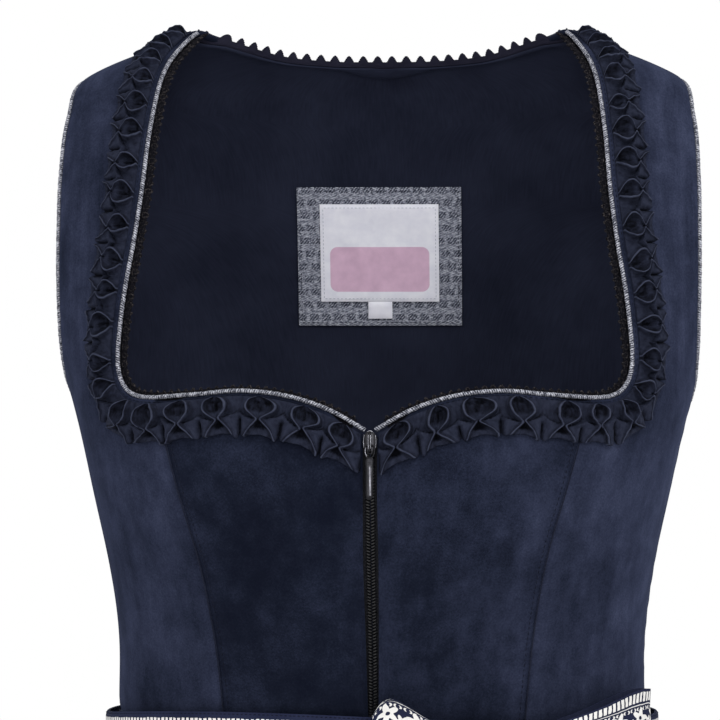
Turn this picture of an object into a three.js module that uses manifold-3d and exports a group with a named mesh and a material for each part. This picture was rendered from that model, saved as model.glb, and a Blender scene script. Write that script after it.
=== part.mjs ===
// A sleeveless dirndl, hollow as it hangs on a wearer: a fitted bodice with a square neckline, wide straps and a
// front zip, a pleated frog-mouth ruche round the neckline, a gathered skirt, and an apron tied in a bow at the
// front left. Millimetres. +X is the wearer's left, -Y the front, +Z up. The origin is midway between the straps,
// where they lie on the shoulders.
import Module from "manifold-3d";
import * as THREE from "three";
import { mergeVertices } from "three/addons/utils/BufferGeometryUtils.js";

const wasm = await Module();
wasm.setup();

// Driving dimensions: the cut of a small size, and the cloth.
const WAIST_DROP = 340; // shoulder to waist seam
const SKIRT_LENGTH = 600;
const APRON_SHORTER = 45; // the apron ends this far above the skirt's hem
const NECK_HALF = 91; // centre to the inner edge of a strap at the shoulder
const TIP = { x: 149.5, z: -25 }; // outer end of the shoulder seam
const UNDERARM = -185;
const BUST = { x: 82, z: -222, rise: 7, wide: 42, tall: 48 };
const BODICE_WALL = 2; // suede and its lining
const SKIRT_WALL = 1.6;
const APRON_WALL = 1.2;
const TRIM_GAP = 0.35; // between any two pieces
const SEAM_HALF_GAP = 0.25;
const PIPING_RADIUS = 1.2;
const RUCHE = { units: 21, inner: 3.2, width: 18.5, lift: 0.8, rim: 5.2, pinch: 0.66, fan: 45 };
const PICOT = { under: 2.4, thick: 1, depth: 5.2, backTeeth: 28, backTooth: 5.4, backValley: 2.2 };
const FACING = { from: 0.6, width: 6, thick: 1 };
const BAND = { wall: 2, columns: 40 };
const BOW_AT = THREE.MathUtils.degToRad(26); // round the waist from the centre front
const BOW_Z = -352;
const TIE = { width: 44, wall: 1.2 };

// Half width, front depth and back depth of the bodice at each height.
const SECTIONS = [
  { z: -WAIST_DROP, half: 131, front: 88, back: 80 },
  { z: -305, half: 131.2, front: 97, back: 82 },
  { z: -265, half: 136.3, front: 112, back: 87 },
  { z: -225, half: 144.8, front: 121, back: 93 },
  { z: UNDERARM, half: 154.5, front: 117, back: 96 },
  { z: -150, half: 165, front: 107, back: 93 },
  { z: -110, half: 171, front: 94, back: 84 },
  { z: -75, half: 170, front: 80, back: 72 },
  { z: -45, half: 162, front: 63, back: 56 },
  { z: TIP.z, half: TIP.x, front: 48, back: 42 },
  { z: 0, half: NECK_HALF, front: 20, back: 20 },
];
const SQUARENESS = 2.3; // exponent of each section's superellipse
const WAIST = SECTIONS[0];

// Skirt: half width, front depth and back depth of its bell, and the depth of its folds either way.
const BELL = [
  { z: -WAIST_DROP - SKIRT_LENGTH, half: 300, front: 262, back: 272, fold: 17 },
  { z: -760, half: 276, front: 238, back: 250, fold: 14 },
  { z: -600, half: 246, front: 208, back: 220, fold: 10 },
  { z: -480, half: 212, front: 172, back: 186, fold: 6.5 },
  { z: -410, half: 176, front: 134, back: 143, fold: 3.6 },
  { z: -366, half: 135, front: 92, back: 84, fold: 1.7 },
  { z: -350, half: 133, front: 90, back: 82, fold: 1.5 },
  { z: -WAIST_DROP, half: WAIST.half, front: WAIST.front, back: WAIST.back, fold: 0.6 },
];
const SKIRT_FOLDS = 28;
const FOLD_COLUMNS = 4;
const APRON_FOLDS = 10;
const APRON_REACH = THREE.MathUtils.degToRad(74); // each side of the centre front
const APRON_FOLD_SHARE = 0.7; // of the skirt's fold depth

// Apron band: how far its inner face stands off the waist, over the skirt's gathers.
const BAND_ROWS = [{ z: -337, out: 5 }, { z: -351, out: 5.2 }, { z: -365, out: 6.4 }];

// Edges on the bodice, as width and height seen from the front, from the first named end to the last.
const NECK_FRONT = [ // centre front to princess seam
  { x: 2.4, z: -198.3 }, { x: 20, z: -188.5 }, { x: 40, z: -182 },
  { x: 62, z: -179.5 }, { x: 84, z: -181.2 }, { x: 105, z: -183 },
];
const NECK_CORNER = [ // round the corner of the neckline
  { x: 105, z: -183 }, { x: 113, z: -182.6 }, { x: 119, z: -180.4 },
  { x: 123, z: -175.6 }, { x: 125, z: -168.5 }, { x: 125.2, z: -160 },
];
const NECK_SIDE = [ // up the strap to the shoulder
  { x: 125.2, z: -160 }, { x: 122.7, z: -136 }, { x: 118, z: -108 }, { x: 114.5, z: -82 },
  { x: 112.3, z: -57 }, { x: 109, z: -33 }, { x: 103.5, z: -15 }, { x: NECK_HALF, z: 0 },
];
const NECK_BACK = [ // shoulder to centre back
  { x: NECK_HALF, z: 0 }, { x: 86, z: -2 }, { x: 71, z: -6.5 }, { x: 51, z: -11.8 },
  { x: 26, z: -14.2 }, { x: 0, z: -14.6 },
];
const ARMHOLE = [ // underarm to shoulder tip
  { x: 154.5, z: UNDERARM }, { x: 156.2, z: -178 }, { x: 157.2, z: -167 }, { x: 158, z: -150 },
  { x: 158.4, z: -128 }, { x: 158.4, z: -98 }, { x: 158, z: -73 }, { x: 156.6, z: -50 },
  { x: 154.4, z: -34 }, { x: TIP.x, z: TIP.z },
];
const ARMHOLE_ROWS = 13;
const BACK_JOIN_ROW = 8; // the armhole row where the back princess seam meets it
const LOWER_ROWS = 7; // from the waist to the underarm
const CORNER_ROWS = 4;
const STRAP_COLUMNS = 6;
const CENTRE_COLUMNS = 6;
const NECK_BACK_COLUMNS = 5;
const BACK_SIDE_COLUMNS = 3;
const PRINCESS_FRONT = [
  { z: -WAIST_DROP, x: 73 }, { z: -300, x: 77 }, { z: -260, x: 84 },
  { z: -225, x: 94 }, { z: -203, x: 100 }, { z: -183, x: 105 },
];
const PRINCESS_BACK = [ // up to the underarm's height, then curving out to the armhole
  { z: -WAIST_DROP, x: 50 }, { z: -280, x: 54 }, { z: -220, x: 62 }, { z: UNDERARM, x: 69 },
  { z: -150, x: 78 }, { z: -123, x: 91 }, { z: -99, x: 114 },
];

// A value read from a table at height z, on a smooth curve through its rows.
function through(rows, z, key) {
  const r = rows[0].z < rows[rows.length - 1].z ? rows : [...rows].reverse();
  const slope = (i) => (r[i + 1][key] - r[i][key]) / (r[i + 1].z - r[i].z);
  const bend = (i) => {
    if (i === 0) return slope(0);
    if (i === r.length - 1) return slope(i - 1);
    const below = r[i].z - r[i - 1].z;
    const above = r[i + 1].z - r[i].z;
    return (slope(i - 1) * above + slope(i) * below) / (below + above);
  };
  const at = THREE.MathUtils.clamp(z, r[0].z, r[r.length - 1].z);
  let i = 0;
  while (i < r.length - 2 && r[i + 1].z <= at) i += 1;
  const h = r[i + 1].z - r[i].z;
  const t = (at - r[i].z) / h;
  return (
    (2 * t ** 3 - 3 * t ** 2 + 1) * r[i][key] +
    (t ** 3 - 2 * t ** 2 + t) * h * bend(i) +
    (3 * t ** 2 - 2 * t ** 3) * r[i + 1][key] +
    (t ** 3 - t ** 2) * h * bend(i + 1)
  );
}

// The bodice's outer surface. The angle runs round it from the centre front, 0, to the centre back, a half turn.
const bustRise = (x, z) =>
  BUST.rise * Math.exp(-(((Math.abs(x) - BUST.x) / BUST.wide) ** 2) - ((z - BUST.z) / BUST.tall) ** 2);

function torso(angle, z) {
  const s = Math.sin(angle);
  const c = Math.cos(angle);
  const r = (Math.abs(s) ** SQUARENESS + Math.abs(c) ** SQUARENESS) ** (-1 / SQUARENESS);
  const x = through(SECTIONS, z, "half") * r * s;
  const y = -through(SECTIONS, z, c >= 0 ? "front" : "back") * r * c;
  return new THREE.Vector3(x, y - bustRise(x, z) * THREE.MathUtils.clamp(3 * c, 0, 1), z);
}

// The angle of the point at width x and height z, on the front or on the back.
function angleOf(x, z, back = false) {
  const q = Math.min(1, Math.abs(x) / through(SECTIONS, z, "half"));
  const angle = Math.atan2(q, (1 - q ** SQUARENESS) ** (1 / SQUARENESS));
  return Math.sign(x || 1) * (back ? Math.PI - angle : angle);
}

function outward(angle, z) {
  const step = 1e-3;
  const round = torso(angle + step, z).sub(torso(angle - step, z));
  const low = Math.min(z, -2 * step);
  const up = torso(angle, low + step).sub(torso(angle, low - step));
  return round.cross(up).normalize();
}

const lifted = ({ angle, z }, height) => torso(angle, z).addScaledVector(outward(angle, z), height);

// The spot on the bodice nearest a point that is a little off it.
function spotNear(point, back) {
  const step = 1e-3;
  let z = Math.min(point.z, 0);
  const depth = through(SECTIONS, z, back ? "back" : "front");
  const start = Math.max(Math.abs(point.y), 1e-6) * (back ? -1 : 1);
  let angle = Math.atan2(point.x / through(SECTIONS, z, "half"), start / depth);
  for (let turn = 0; turn < 8; turn += 1) {
    const low = Math.min(z, -step);
    const off = point.clone().sub(torso(angle, z));
    const round = torso(angle + step, z).sub(torso(angle - step, z)).divideScalar(2 * step);
    const up = torso(angle, low + step).sub(torso(angle, low - step)).divideScalar(2 * step);
    const rr = round.dot(round);
    const uu = up.dot(up);
    const ru = round.dot(up);
    const scale = rr * uu - ru * ru;
    angle += (off.dot(round) * uu - off.dot(up) * ru) / scale;
    z = Math.min(z + (off.dot(up) * rr - off.dot(round) * ru) / scale, 0);
  }
  return { angle, z };
}

// Spots on an edge, evenly spaced along it. Each has its frame: the edge's direction, outward, and into the cloth.
function edge(table, count, { back = false, clothOnLeft = false } = {}) {
  const curve = new THREE.CatmullRomCurve3(
    table.map(({ x, z }) => torso(angleOf(x, z, back), z)), false, "centripetal");
  curve.arcLengthDivisions = 400;
  return Array.from({ length: count + 1 }, (_, i) => {
    const along = curve.getTangentAt(i / count);
    const spot = spotNear(curve.getPointAt(i / count), back);
    return station(spot, along, clothOnLeft ? 1 : -1, back);
  });
}

function station(spot, along, turn, back) {
  const out = outward(spot.angle, spot.z);
  const into = new THREE.Vector3().crossVectors(out, along).multiplyScalar(turn).normalize();
  return { spot, point: torso(spot.angle, spot.z), along, out, into, back };
}

const mirrorX = (v) => new THREE.Vector3(-v.x, v.y, v.z);
const mirrored = (s) => ({
  spot: { angle: -s.spot.angle, z: s.spot.z },
  point: mirrorX(s.point), along: mirrorX(s.along), out: mirrorX(s.out), into: mirrorX(s.into), back: s.back,
});
const onSide = (stations, side) => (side === 1 ? stations : stations.map(mirrored));

// A spot moved into the cloth from an edge, along the surface.
function inset(from, distance) {
  return spotNear(from.point.clone().addScaledVector(from.into, distance), from.back);
}

// A spot moved round the body by a distance.
function beside({ angle, z }, distance) {
  const step = 1e-3;
  return { angle: angle + (distance * step) / torso(angle + step, z).distanceTo(torso(angle, z)), z };
}

// The seam's spots, listed upwards, moved square to the seam: a positive distance is towards the centre front.
function seamSide(spots, distance, back = false) {
  const at = (i) => torso(spots[i].angle, spots[i].z);
  return spots.map((spot, i) => {
    const along = at(Math.min(i + 1, spots.length - 1)).sub(at(Math.max(i - 1, 0)));
    const moved = inset(station(spot, along, 1, back), distance);
    return i === 0 ? { angle: moved.angle, z: spot.z } : moved;
  });
}

// A closed mesh from points and triangles, turned so that its faces point out.
function solid(points, triangles) {
  let volume = 0;
  for (const [a, b, c] of triangles) {
    volume += points[a].dot(new THREE.Vector3().crossVectors(points[b], points[c]));
  }
  const index = triangles.flatMap(([a, b, c]) => (volume > 0 ? [a, b, c] : [a, c, b]));
  const geometry = new THREE.BufferGeometry();
  geometry.setAttribute("position", new THREE.Float32BufferAttribute(points.flatMap((p) => p.toArray()), 3));
  geometry.setIndex(index);
  geometry.computeVertexNormals();
  return geometry;
}

// A wall of cloth between two grids of points of the same shape. A ring's columns close on themselves.
function wall(outer, inner, ring = false) {
  const rows = outer.length;
  const columns = outer[0].length;
  const at = (face, i, j) => (face * rows + i) * columns + (j % columns);
  const triangles = [];
  const quad = (a, b, c, d) => triangles.push([a, b, c], [a, c, d]);
  const spans = ring ? columns : columns - 1;
  for (let i = 0; i < rows - 1; i += 1) {
    for (let j = 0; j < spans; j += 1) {
      quad(at(0, i, j), at(0, i, j + 1), at(0, i + 1, j + 1), at(0, i + 1, j));
      quad(at(1, i, j), at(1, i + 1, j), at(1, i + 1, j + 1), at(1, i, j + 1));
    }
    if (!ring) {
      const end = columns - 1;
      quad(at(0, i, 0), at(0, i + 1, 0), at(1, i + 1, 0), at(1, i, 0));
      quad(at(0, i, end), at(1, i, end), at(1, i + 1, end), at(0, i + 1, end));
    }
  }
  for (let j = 0; j < spans; j += 1) {
    quad(at(0, 0, j), at(1, 0, j), at(1, 0, j + 1), at(0, 0, j + 1));
    quad(at(0, rows - 1, j), at(0, rows - 1, j + 1), at(1, rows - 1, j + 1), at(1, rows - 1, j));
  }
  return solid([...outer.flat(), ...inner.flat()], triangles);
}

// A bar through closed sections of the same number of points, with flat ends, or closed on itself as a ring.
function bar(sections, ring = false) {
  const n = sections[0].length;
  const at = (i, k) => (i % sections.length) * n + (k % n);
  const triangles = [];
  const spans = ring ? sections.length : sections.length - 1;
  for (let i = 0; i < spans; i += 1) {
    for (let k = 0; k < n; k += 1) {
      triangles.push([at(i, k), at(i, k + 1), at(i + 1, k + 1)], [at(i, k), at(i + 1, k + 1), at(i + 1, k)]);
    }
  }
  for (let k = 1; k < n - 1 && !ring; k += 1) {
    triangles.push([at(0, 0), at(0, k + 1), at(0, k)]);
    triangles.push([at(spans, 0), at(spans, k), at(spans, k + 1)]);
  }
  return solid(sections.flat(), triangles);
}

const dirndl = new THREE.Group();
const material = (color, roughness, metalness = 0) =>
  new THREE.MeshStandardMaterial({ color, roughness, metalness });
const CLOTH = {
  suede: material(0x2b3147, 0.9),
  ruche: material(0x23283a, 0.8),
  piping: material(0x9a9ca6, 0.6),
  lace: material(0x15161d, 0.85),
  tape: material(0x0d0e12, 0.8),
  metal: material(0x55585f, 0.35, 0.8),
  tweed: material(0x6f727d, 0.85),
  label: material(0xd2d2dc, 0.6),
  skirt: material(0x252b41, 0.7),
  print: material(0x8f9097, 0.8),
};

function piece(name, geometry, cloth, parent = dirndl) {
  const mesh = new THREE.Mesh(geometry, cloth);
  mesh.name = name;
  parent.add(mesh);
  return mesh;
}

const SIDES = [{ side: 1, hand: "left" }, { side: -1, hand: "right" }];
const { lerp, clamp } = THREE.MathUtils;
const list = (count, make) => Array.from({ length: count }, (_, i) => make(i));
const between = (a, b, t) => ({ angle: lerp(a.angle, b.angle, t), z: lerp(a.z, b.z, t) });
const turned = ({ angle, z }, side) => ({ angle: side * angle, z });

// Edges of the left half; the right half mirrors them.
const neckFront = edge(NECK_FRONT, CENTRE_COLUMNS);
const neckCorner = edge(NECK_CORNER, CORNER_ROWS);
const neckSide = edge(NECK_SIDE, ARMHOLE_ROWS - CORNER_ROWS);
const neckBack = edge(NECK_BACK, NECK_BACK_COLUMNS, { back: true });
const armFront = edge(ARMHOLE, ARMHOLE_ROWS, { clothOnLeft: true });
const armBack = edge(ARMHOLE, ARMHOLE_ROWS, { back: true });
const EDGE_INSET = PIPING_RADIUS + 0.55;
const frontTop = neckFront.map((s) => inset(s, EDGE_INSET));
const frontArm = armFront.map((s) => inset(s, EDGE_INSET));
const backArm = armBack.map((s) => inset(s, EDGE_INSET));

// Seams, listed upwards. Neighbouring panels share these spots, so that their facets meet.
const lowerHeights = (top) => list(LOWER_ROWS + 1, (i) => lerp(-WAIST_DROP, top, i / LOWER_ROWS));
const princessFront = lowerHeights(frontTop[CENTRE_COLUMNS].z).map((z) =>
  ({ angle: angleOf(through(PRINCESS_FRONT, z, "x"), z), z }));
const sideSeam = lowerHeights(UNDERARM - EDGE_INSET).map((z) => ({ angle: Math.PI / 2, z }));
const backJoin = backArm[BACK_JOIN_ROW];
const princessBackTop = new THREE.CatmullRomCurve3([
  ...PRINCESS_BACK.slice(3).map(({ x, z }) => torso(angleOf(x, z, true), z)),
  torso(backJoin.angle, backJoin.z),
]);
const princessBack = [
  ...lowerHeights(UNDERARM).map((z) => ({ angle: angleOf(through(PRINCESS_BACK, z, "x"), z, true), z })),
  ...list(BACK_JOIN_ROW, (i) => spotNear(princessBackTop.getPointAt((i + 1) / BACK_JOIN_ROW), true)),
];
const seamOutwards = new THREE.Vector3(TIP.x - NECK_HALF, 0, TIP.z).normalize();
const SEAM_STARTS = 4.5; // from the neck point, clear of the piping
const seamStart = inset({ ...neckSide[neckSide.length - 1], into: seamOutwards }, SEAM_STARTS);
const shoulderSeam = list(STRAP_COLUMNS + 1, (i) => ({
  angle: Math.PI / 2, z: lerp(seamStart.z, frontArm[ARMHOLE_ROWS].z, i / STRAP_COLUMNS),
}));

// A panel from rows of spots: its outer face on the bodice's surface, its inner face a wall's thickness in.
function panel(name, rows) {
  const face = (height) => rows.map((row) => row.map((spot) => lifted(spot, height)));
  piece(name, wall(face(0), face(-BODICE_WALL)), CLOTH.suede);
}

const ZIP_HALF_GAP = [
  { z: -WAIST_DROP, x: 2.5 }, { z: -300, x: 3.2 }, { z: -262, x: 3.7 },
  { z: -225, x: 3.4 }, { z: -198, x: 3.6 },
];

// Front centre: from the zip's edge to the princess seam, its upper rows bending to the neckline.
function frontCentre(side) {
  const seam = seamSide(princessFront, SEAM_HALF_GAP);
  return seam.map((outer, i) => {
    const z = lerp(-WAIST_DROP, frontTop[0].z, i / LOWER_ROWS);
    const zipEdge = { angle: angleOf(through(ZIP_HALF_GAP, z, "x"), z), z };
    const pull = Math.max(0, 1 - (LOWER_ROWS - i) / 3) ** 2;
    return list(CENTRE_COLUMNS + 1, (j) => {
      const plain = between(zipEdge, outer, j / CENTRE_COLUMNS);
      const atEnd = j === 0 || j === CENTRE_COLUMNS;
      return turned(atEnd ? plain : between(plain, frontTop[j], pull), side);
    });
  });
}

// Front side: from the princess seam and neckline out to the side seam and armhole, up to the shoulder.
function frontSide(side) {
  const innerEdge = [
    ...seamSide(princessFront, -SEAM_HALF_GAP),
    ...[...neckCorner.slice(1), ...neckSide.slice(1)].map((s) => inset(s, EDGE_INSET)),
  ];
  const outerEdge = [...sideSeam.map((spot) => beside(spot, -SEAM_HALF_GAP)), ...frontArm.slice(1)];
  const rows = innerEdge.map((inner, i) =>
    list(STRAP_COLUMNS + 1, (j) => between(inner, outerEdge[i], j / STRAP_COLUMNS)));
  rows[rows.length - 1] = shoulderSeam.map((spot) => beside(spot, -SEAM_HALF_GAP));
  return rows.map((row) => row.map((spot) => turned(spot, side)));
}

// Back side: from the side seam and armhole in to the back princess seam, ending in a point at the armhole.
const BACK_TIP = 0.85; // share of the armhole's last row that the point reaches
function backSide(side) {
  const innerEdge = seamSide(princessBack, SEAM_HALF_GAP, true);
  const outerEdge = [
    ...sideSeam.map((spot) => beside(spot, SEAM_HALF_GAP)),
    ...backArm.slice(1, BACK_JOIN_ROW),
    between(backArm[BACK_JOIN_ROW - 1], backJoin, BACK_TIP),
  ];
  return outerEdge.map((outer, i) =>
    list(BACK_SIDE_COLUMNS + 1, (j) => turned(between(outer, innerEdge[i], j / BACK_SIDE_COLUMNS), side)));
}

// Back centre: one piece from princess seam to princess seam, with both straps.
const STRAP_BACK_FROM = -48; // centre back height of the row that ends at the shoulder's tip
function backCentre() {
  const outerEdge = [
    ...seamSide(princessBack, -SEAM_HALF_GAP, true),
    ...backArm.slice(BACK_JOIN_ROW + 1, -1),
    ...[...shoulderSeam].reverse().map((spot) => beside(spot, SEAM_HALF_GAP)),
  ];
  const joinRow = princessBack.length - 1;
  const tipRow = joinRow + ARMHOLE_ROWS - BACK_JOIN_ROW;
  const topRow = outerEdge.length - 1;
  const top = NECK_BACK[NECK_BACK.length - 1].z;
  const centreHeight = (i) => {
    if (i > tipRow) return lerp(STRAP_BACK_FROM, top, (i - tipRow) / (topRow - tipRow));
    if (i <= joinRow) return princessBack[i].z;
    return lerp(princessBack[joinRow].z, STRAP_BACK_FROM, (i - joinRow) / (tipRow - joinRow));
  };
  return outerEdge.map((outer, i) => {
    const pull = Math.max(0, 1 - (topRow - i) / 4) ** 2;
    const centre = { angle: Math.PI, z: centreHeight(i) };
    const half = list(NECK_BACK_COLUMNS + 1, (j) =>
      between(between(outer, centre, j / NECK_BACK_COLUMNS), neckBack[j].spot, j === 0 ? 0 : pull));
    half[NECK_BACK_COLUMNS].angle = Math.PI;
    const other = half.slice(0, -1).map(({ angle, z }) => ({ angle: 2 * Math.PI - angle, z }));
    return [...half, ...other.reverse()];
  });
}

panel("back_centre", backCentre());
for (const { side, hand } of SIDES) {
  panel(`front_centre_${hand}`, frontCentre(side));
  panel(`front_side_${hand}`, frontSide(side));
  panel(`back_side_${hand}`, backSide(side));
}

// Piping: a round cord along the front neckline and round each armhole, at the cloth's mid thickness.
const PIPING_SIDES = 6;
function cordRing({ point, out, into }, radius) {
  const centre = point.clone().addScaledVector(out, -BODICE_WALL / 2);
  return list(PIPING_SIDES, (k) => {
    const a = (2 * Math.PI * k) / PIPING_SIDES;
    const side = into.clone().multiplyScalar(radius * Math.cos(a));
    return centre.clone().addScaledVector(out, radius * Math.sin(a)).add(side);
  });
}
function stationBetween(a, b, t) {
  const spot = between(a.spot, b.spot, t);
  const blend = (key) => a[key].clone().lerp(b[key], t);
  return { spot, point: torso(spot.angle, spot.z), along: blend("along"), out: blend("out").normalize(),
    into: blend("into").normalize(), back: a.back };
}
const SHORT_OF_SEAM = 0.9; // share of the neckline's last step that its piping covers
const neckCord = [...neckFront, ...neckCorner.slice(1), ...neckSide.slice(1, -1),
  stationBetween(...neckSide.slice(-2), SHORT_OF_SEAM)];
const armCord = [
  { ...armFront[0], into: new THREE.Vector3(0, 0, -1) },
  ...armFront.slice(1, -1),
  { ...armFront[ARMHOLE_ROWS], into: seamOutwards.clone().negate() },
  ...armBack.slice(1, -1).reverse(),
];
for (const { side, hand } of SIDES) {
  const along = (stations) => onSide(stations, side).map((s) => cordRing(s, PIPING_RADIUS));
  piece(`neck_piping_${hand}`, bar(along(neckCord)), CLOTH.piping);
  piece(`armhole_piping_${hand}`, bar(along(armCord), true), CLOTH.piping);
}

// Ruche: a strip with pleats that are pinched together, so that each opens as a mouth. Each row across the strip
// has its distance from the neckline's side, its height, and the mouth's half width, all as shares.
const RUCHE_ROWS = [
  { across: 0, rim: 0.45, mouth: 0.95 },
  { across: 0.32, rim: 1, mouth: 1 },
  { across: RUCHE.pinch, rim: 0.85, mouth: 0.25 },
  { across: 1, rim: 0.65, mouth: 1.15 },
];
const RUCHE_STARTS = 2.2; // along the neckline from the centre front
const STEPS_PER_UNIT = 4; // valley, rim, mouth, rim

// Sections of the ruche, evenly spaced along its middle. At the centre front they turn upright, beside the zip,
// and at the shoulder along the seam.
function rucheTrack() {
  const fine = edge([...NECK_FRONT, ...NECK_CORNER.slice(1), ...NECK_SIDE.slice(1)], 300);
  const down = new THREE.Vector3(0, 0, -1);
  const lengths = [];
  fine.forEach((s, i) => lengths.push(i ? lengths[i - 1] + s.point.distanceTo(fine[i - 1].point) : 0));
  const whole = lengths[lengths.length - 1];
  const reach = [];
  const fanned = fine.map((s, i) => {
    const fromCentre = THREE.MathUtils.smoothstep(lengths[i], 0, RUCHE.fan);
    const fromShoulder = THREE.MathUtils.smoothstep(whole - lengths[i], 0, RUCHE.fan);
    const into = s.into.clone().lerp(down, 1 - fromCentre).lerp(seamOutwards, 1 - fromShoulder);
    return { ...s, into: into.normalize(), length: lengths[i] };
  }).filter((s) => s.length > RUCHE_STARTS && s.length < whole - RUCHE_STARTS);
  const middle = fanned.map((s) => lifted(inset(s, RUCHE.inner + RUCHE.width / 2), 0));
  middle.forEach((p, i) => reach.push(i ? reach[i - 1] + p.distanceTo(middle[i - 1]) : 0));
  const steps = RUCHE.units * STEPS_PER_UNIT;
  return list(steps + 1, (k) => {
    const want = (reach[reach.length - 1] * k) / steps;
    const i = clamp(reach.findIndex((r) => r >= want), 1, reach.length - 1);
    return stationBetween(fanned[i - 1], fanned[i], (want - reach[i - 1]) / (reach[i] - reach[i - 1]));
  });
}
function rucheSection(track, k) {
  const phase = k % STEPS_PER_UNIT;
  const here = track[k];
  const towards = track[clamp(k + (phase === 1 ? 1 : -1), 0, track.length - 1)];
  const step = towards.point.clone().sub(here.point);
  const at = (across, height, shift) =>
    lifted(inset(here, RUCHE.inner + RUCHE.width * across), RUCHE.lift + height).addScaledVector(step, shift);
  const top = RUCHE_ROWS.map(({ across, rim, mouth }) => {
    const onRim = phase === 1 || phase === 3;
    const pinched = across === RUCHE.pinch;
    const dip = pinched ? 0.9 : 0.2;
    const height = RUCHE.rim * rim * (onRim ? 1 : phase === 2 ? dip : 0.22);
    return at(across, height, onRim ? 1 - mouth : 0);
  });
  return [at(0, 0, 0), at(0.5, 0, 0), at(1, 0, 0), ...top.reverse()];
}
const ruche = rucheTrack();
for (const { side, hand } of SIDES) {
  const track = onSide(ruche, side);
  piece(`ruche_${hand}`, bar(track.map((_, k) => rucheSection(track, k))), CLOTH.ruche);
}

// Picot lace under the neckline's edge: even at the front, with pointed teeth at the back.
const LACE_LEVEL = -BODICE_WALL - 1;
const BESIDE_TAPE = 0.66; // share of the neckline's first step that the zip's tape takes
const frontLace = [stationBetween(neckCord[0], neckCord[1], BESIDE_TAPE), ...neckCord.slice(1)];
for (const { side, hand } of SIDES) {
  const face = (level) => onSide(frontLace, side).map((s) => [
    lifted(inset(s, PICOT.under), level),
    lifted(s.spot, level),
    lifted(s.spot, level).addScaledVector(s.into, -PICOT.depth),
  ]);
  piece(`picot_front_${hand}`, wall(face(LACE_LEVEL), face(LACE_LEVEL - PICOT.thick)), CLOTH.lace);
}

// A point inside the back, at a share of its width and a distance down from its top edge, off its inner face.
const backRows = backCentre().reverse();
function insideBack(share, down, level) {
  const u = share * (backRows[0].length - 1);
  const j = Math.min(Math.floor(u), backRows[0].length - 2);
  const at = (i) => lifted(backRows[i][j], level).lerp(lifted(backRows[i][j + 1], level), u - j);
  let i = 0;
  let left = down;
  while (i < backRows.length - 2 && left > at(i).distanceTo(at(i + 1))) {
    left -= at(i).distanceTo(at(i + 1));
    i += 1;
  }
  return at(i).lerp(at(i + 1), left / at(i).distanceTo(at(i + 1)));
}
const BACK_LACE_LEVEL = -BODICE_WALL - 0.7;
const LACE_ENDS = 0.012; // share of the neckline left free at each shoulder
const neckShare = (i, steps) => lerp(LACE_ENDS, 1 - LACE_ENDS, i / steps);
const LACE_UP = new THREE.Vector3(0, -0.35, 0.94).normalize(); // the teeth stand nearly upright
const laceFace = (level) => list(2 * PICOT.backTeeth + 1, (i) => {
  const share = neckShare(i, 2 * PICOT.backTeeth);
  const edgePoint = insideBack(share, 0, level);
  const reach = i % 2 ? PICOT.backTooth : PICOT.backValley;
  return [insideBack(share, PICOT.under, level), edgePoint, edgePoint.clone().addScaledVector(LACE_UP, reach)];
});
piece("picot_back", wall(laceFace(BACK_LACE_LEVEL), laceFace(BACK_LACE_LEVEL - PICOT.thick)), CLOTH.lace);

// Facing: a narrow tape inside the back neckline, over the lace's root.
const FACING_STEPS = 20;
const FACING_LEVEL = BACK_LACE_LEVEL - PICOT.thick - 0.5;
const facingFace = (level) => list(FACING_STEPS + 1, (i) =>
  [FACING.from, FACING.from + FACING.width].map((d) => insideBack(neckShare(i, FACING_STEPS), d, level)));
piece("neck_facing", wall(facingFace(FACING_LEVEL), facingFace(FACING_LEVEL - FACING.thick)), CLOTH.skirt);

// Label on the back's inside: a tweed patch, a white label on it and a small tab below that.
const LABEL = { x: -5, wall: 1, off: 0.9, clear: 0.6 };
const LABEL_LAYERS = [
  { name: "label_patch", top: -75.5, wide: 85, tall: 73, layer: 0, cloth: CLOTH.tweed, columns: 6 },
  { name: "label", top: -85, wide: 61, tall: 51, layer: 1, cloth: CLOTH.label, columns: 4 },
  { name: "size_tab", top: -136.8, wide: 12.5, tall: 8, layer: 1, cloth: CLOTH.label, columns: 1 },
];
for (const { name, top, wide, tall, layer, cloth, columns } of LABEL_LAYERS) {
  const rows = Math.max(1, Math.round(tall / 16));
  const face = (level) => list(rows + 1, (i) => {
    const z = top - (tall * i) / rows;
    return list(columns + 1, (j) => {
      const x = LABEL.x + wide * (j / columns - 0.5);
      return lifted({ angle: angleOf(x, z, true), z }, level);
    });
  });
  const level = -BODICE_WALL - LABEL.off - layer * (LABEL.wall + LABEL.clear);
  piece(name, wall(face(level), face(level - LABEL.wall)), cloth);
}

// Zip: two tapes behind the front edges, the closed coil between them, and the slider at the top.
const ZIP = { top: -199, tape: 11, thick: 1, level: -BODICE_WALL - 1.8 };
const COIL = { half: 1.9, from: -1.5, thick: 1.6 };
const SLIDER = { length: 11, half: 3, plateFrom: 0.5, plateTo: 1.3, edge: 0.8 };
const BRIDGE = { half: 0.8, foot: 1.6, under: 3.7, over: 4.7, chamfer: 1 };
const PULL = {
  axis: 2.5, at: -7, bar: 0.5, arm: 1.7, edge: 0.9, half: 1.9, thick: 1.2, tab: -12.6, end: -33,
};
const zipStrip = (xs, top, from, thick) => {
  const face = (level) => list(9, (i) => {
    const z = lerp(top, -WAIST_DROP + 1, i / 8);
    return xs.map((x) => lifted({ angle: angleOf(x, z), z }, level));
  });
  return wall(face(from), face(from - thick));
};
for (const { side, hand } of SIDES) {
  const xs = [TRIM_GAP / 2, ZIP.tape / 2, ZIP.tape].map((x) => side * x);
  piece(`zip_tape_${hand}`, zipStrip(xs, ZIP.top - 2, ZIP.level, ZIP.thick), CLOTH.tape);
}
const coilTop = ZIP.top - SLIDER.length - TRIM_GAP;
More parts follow.
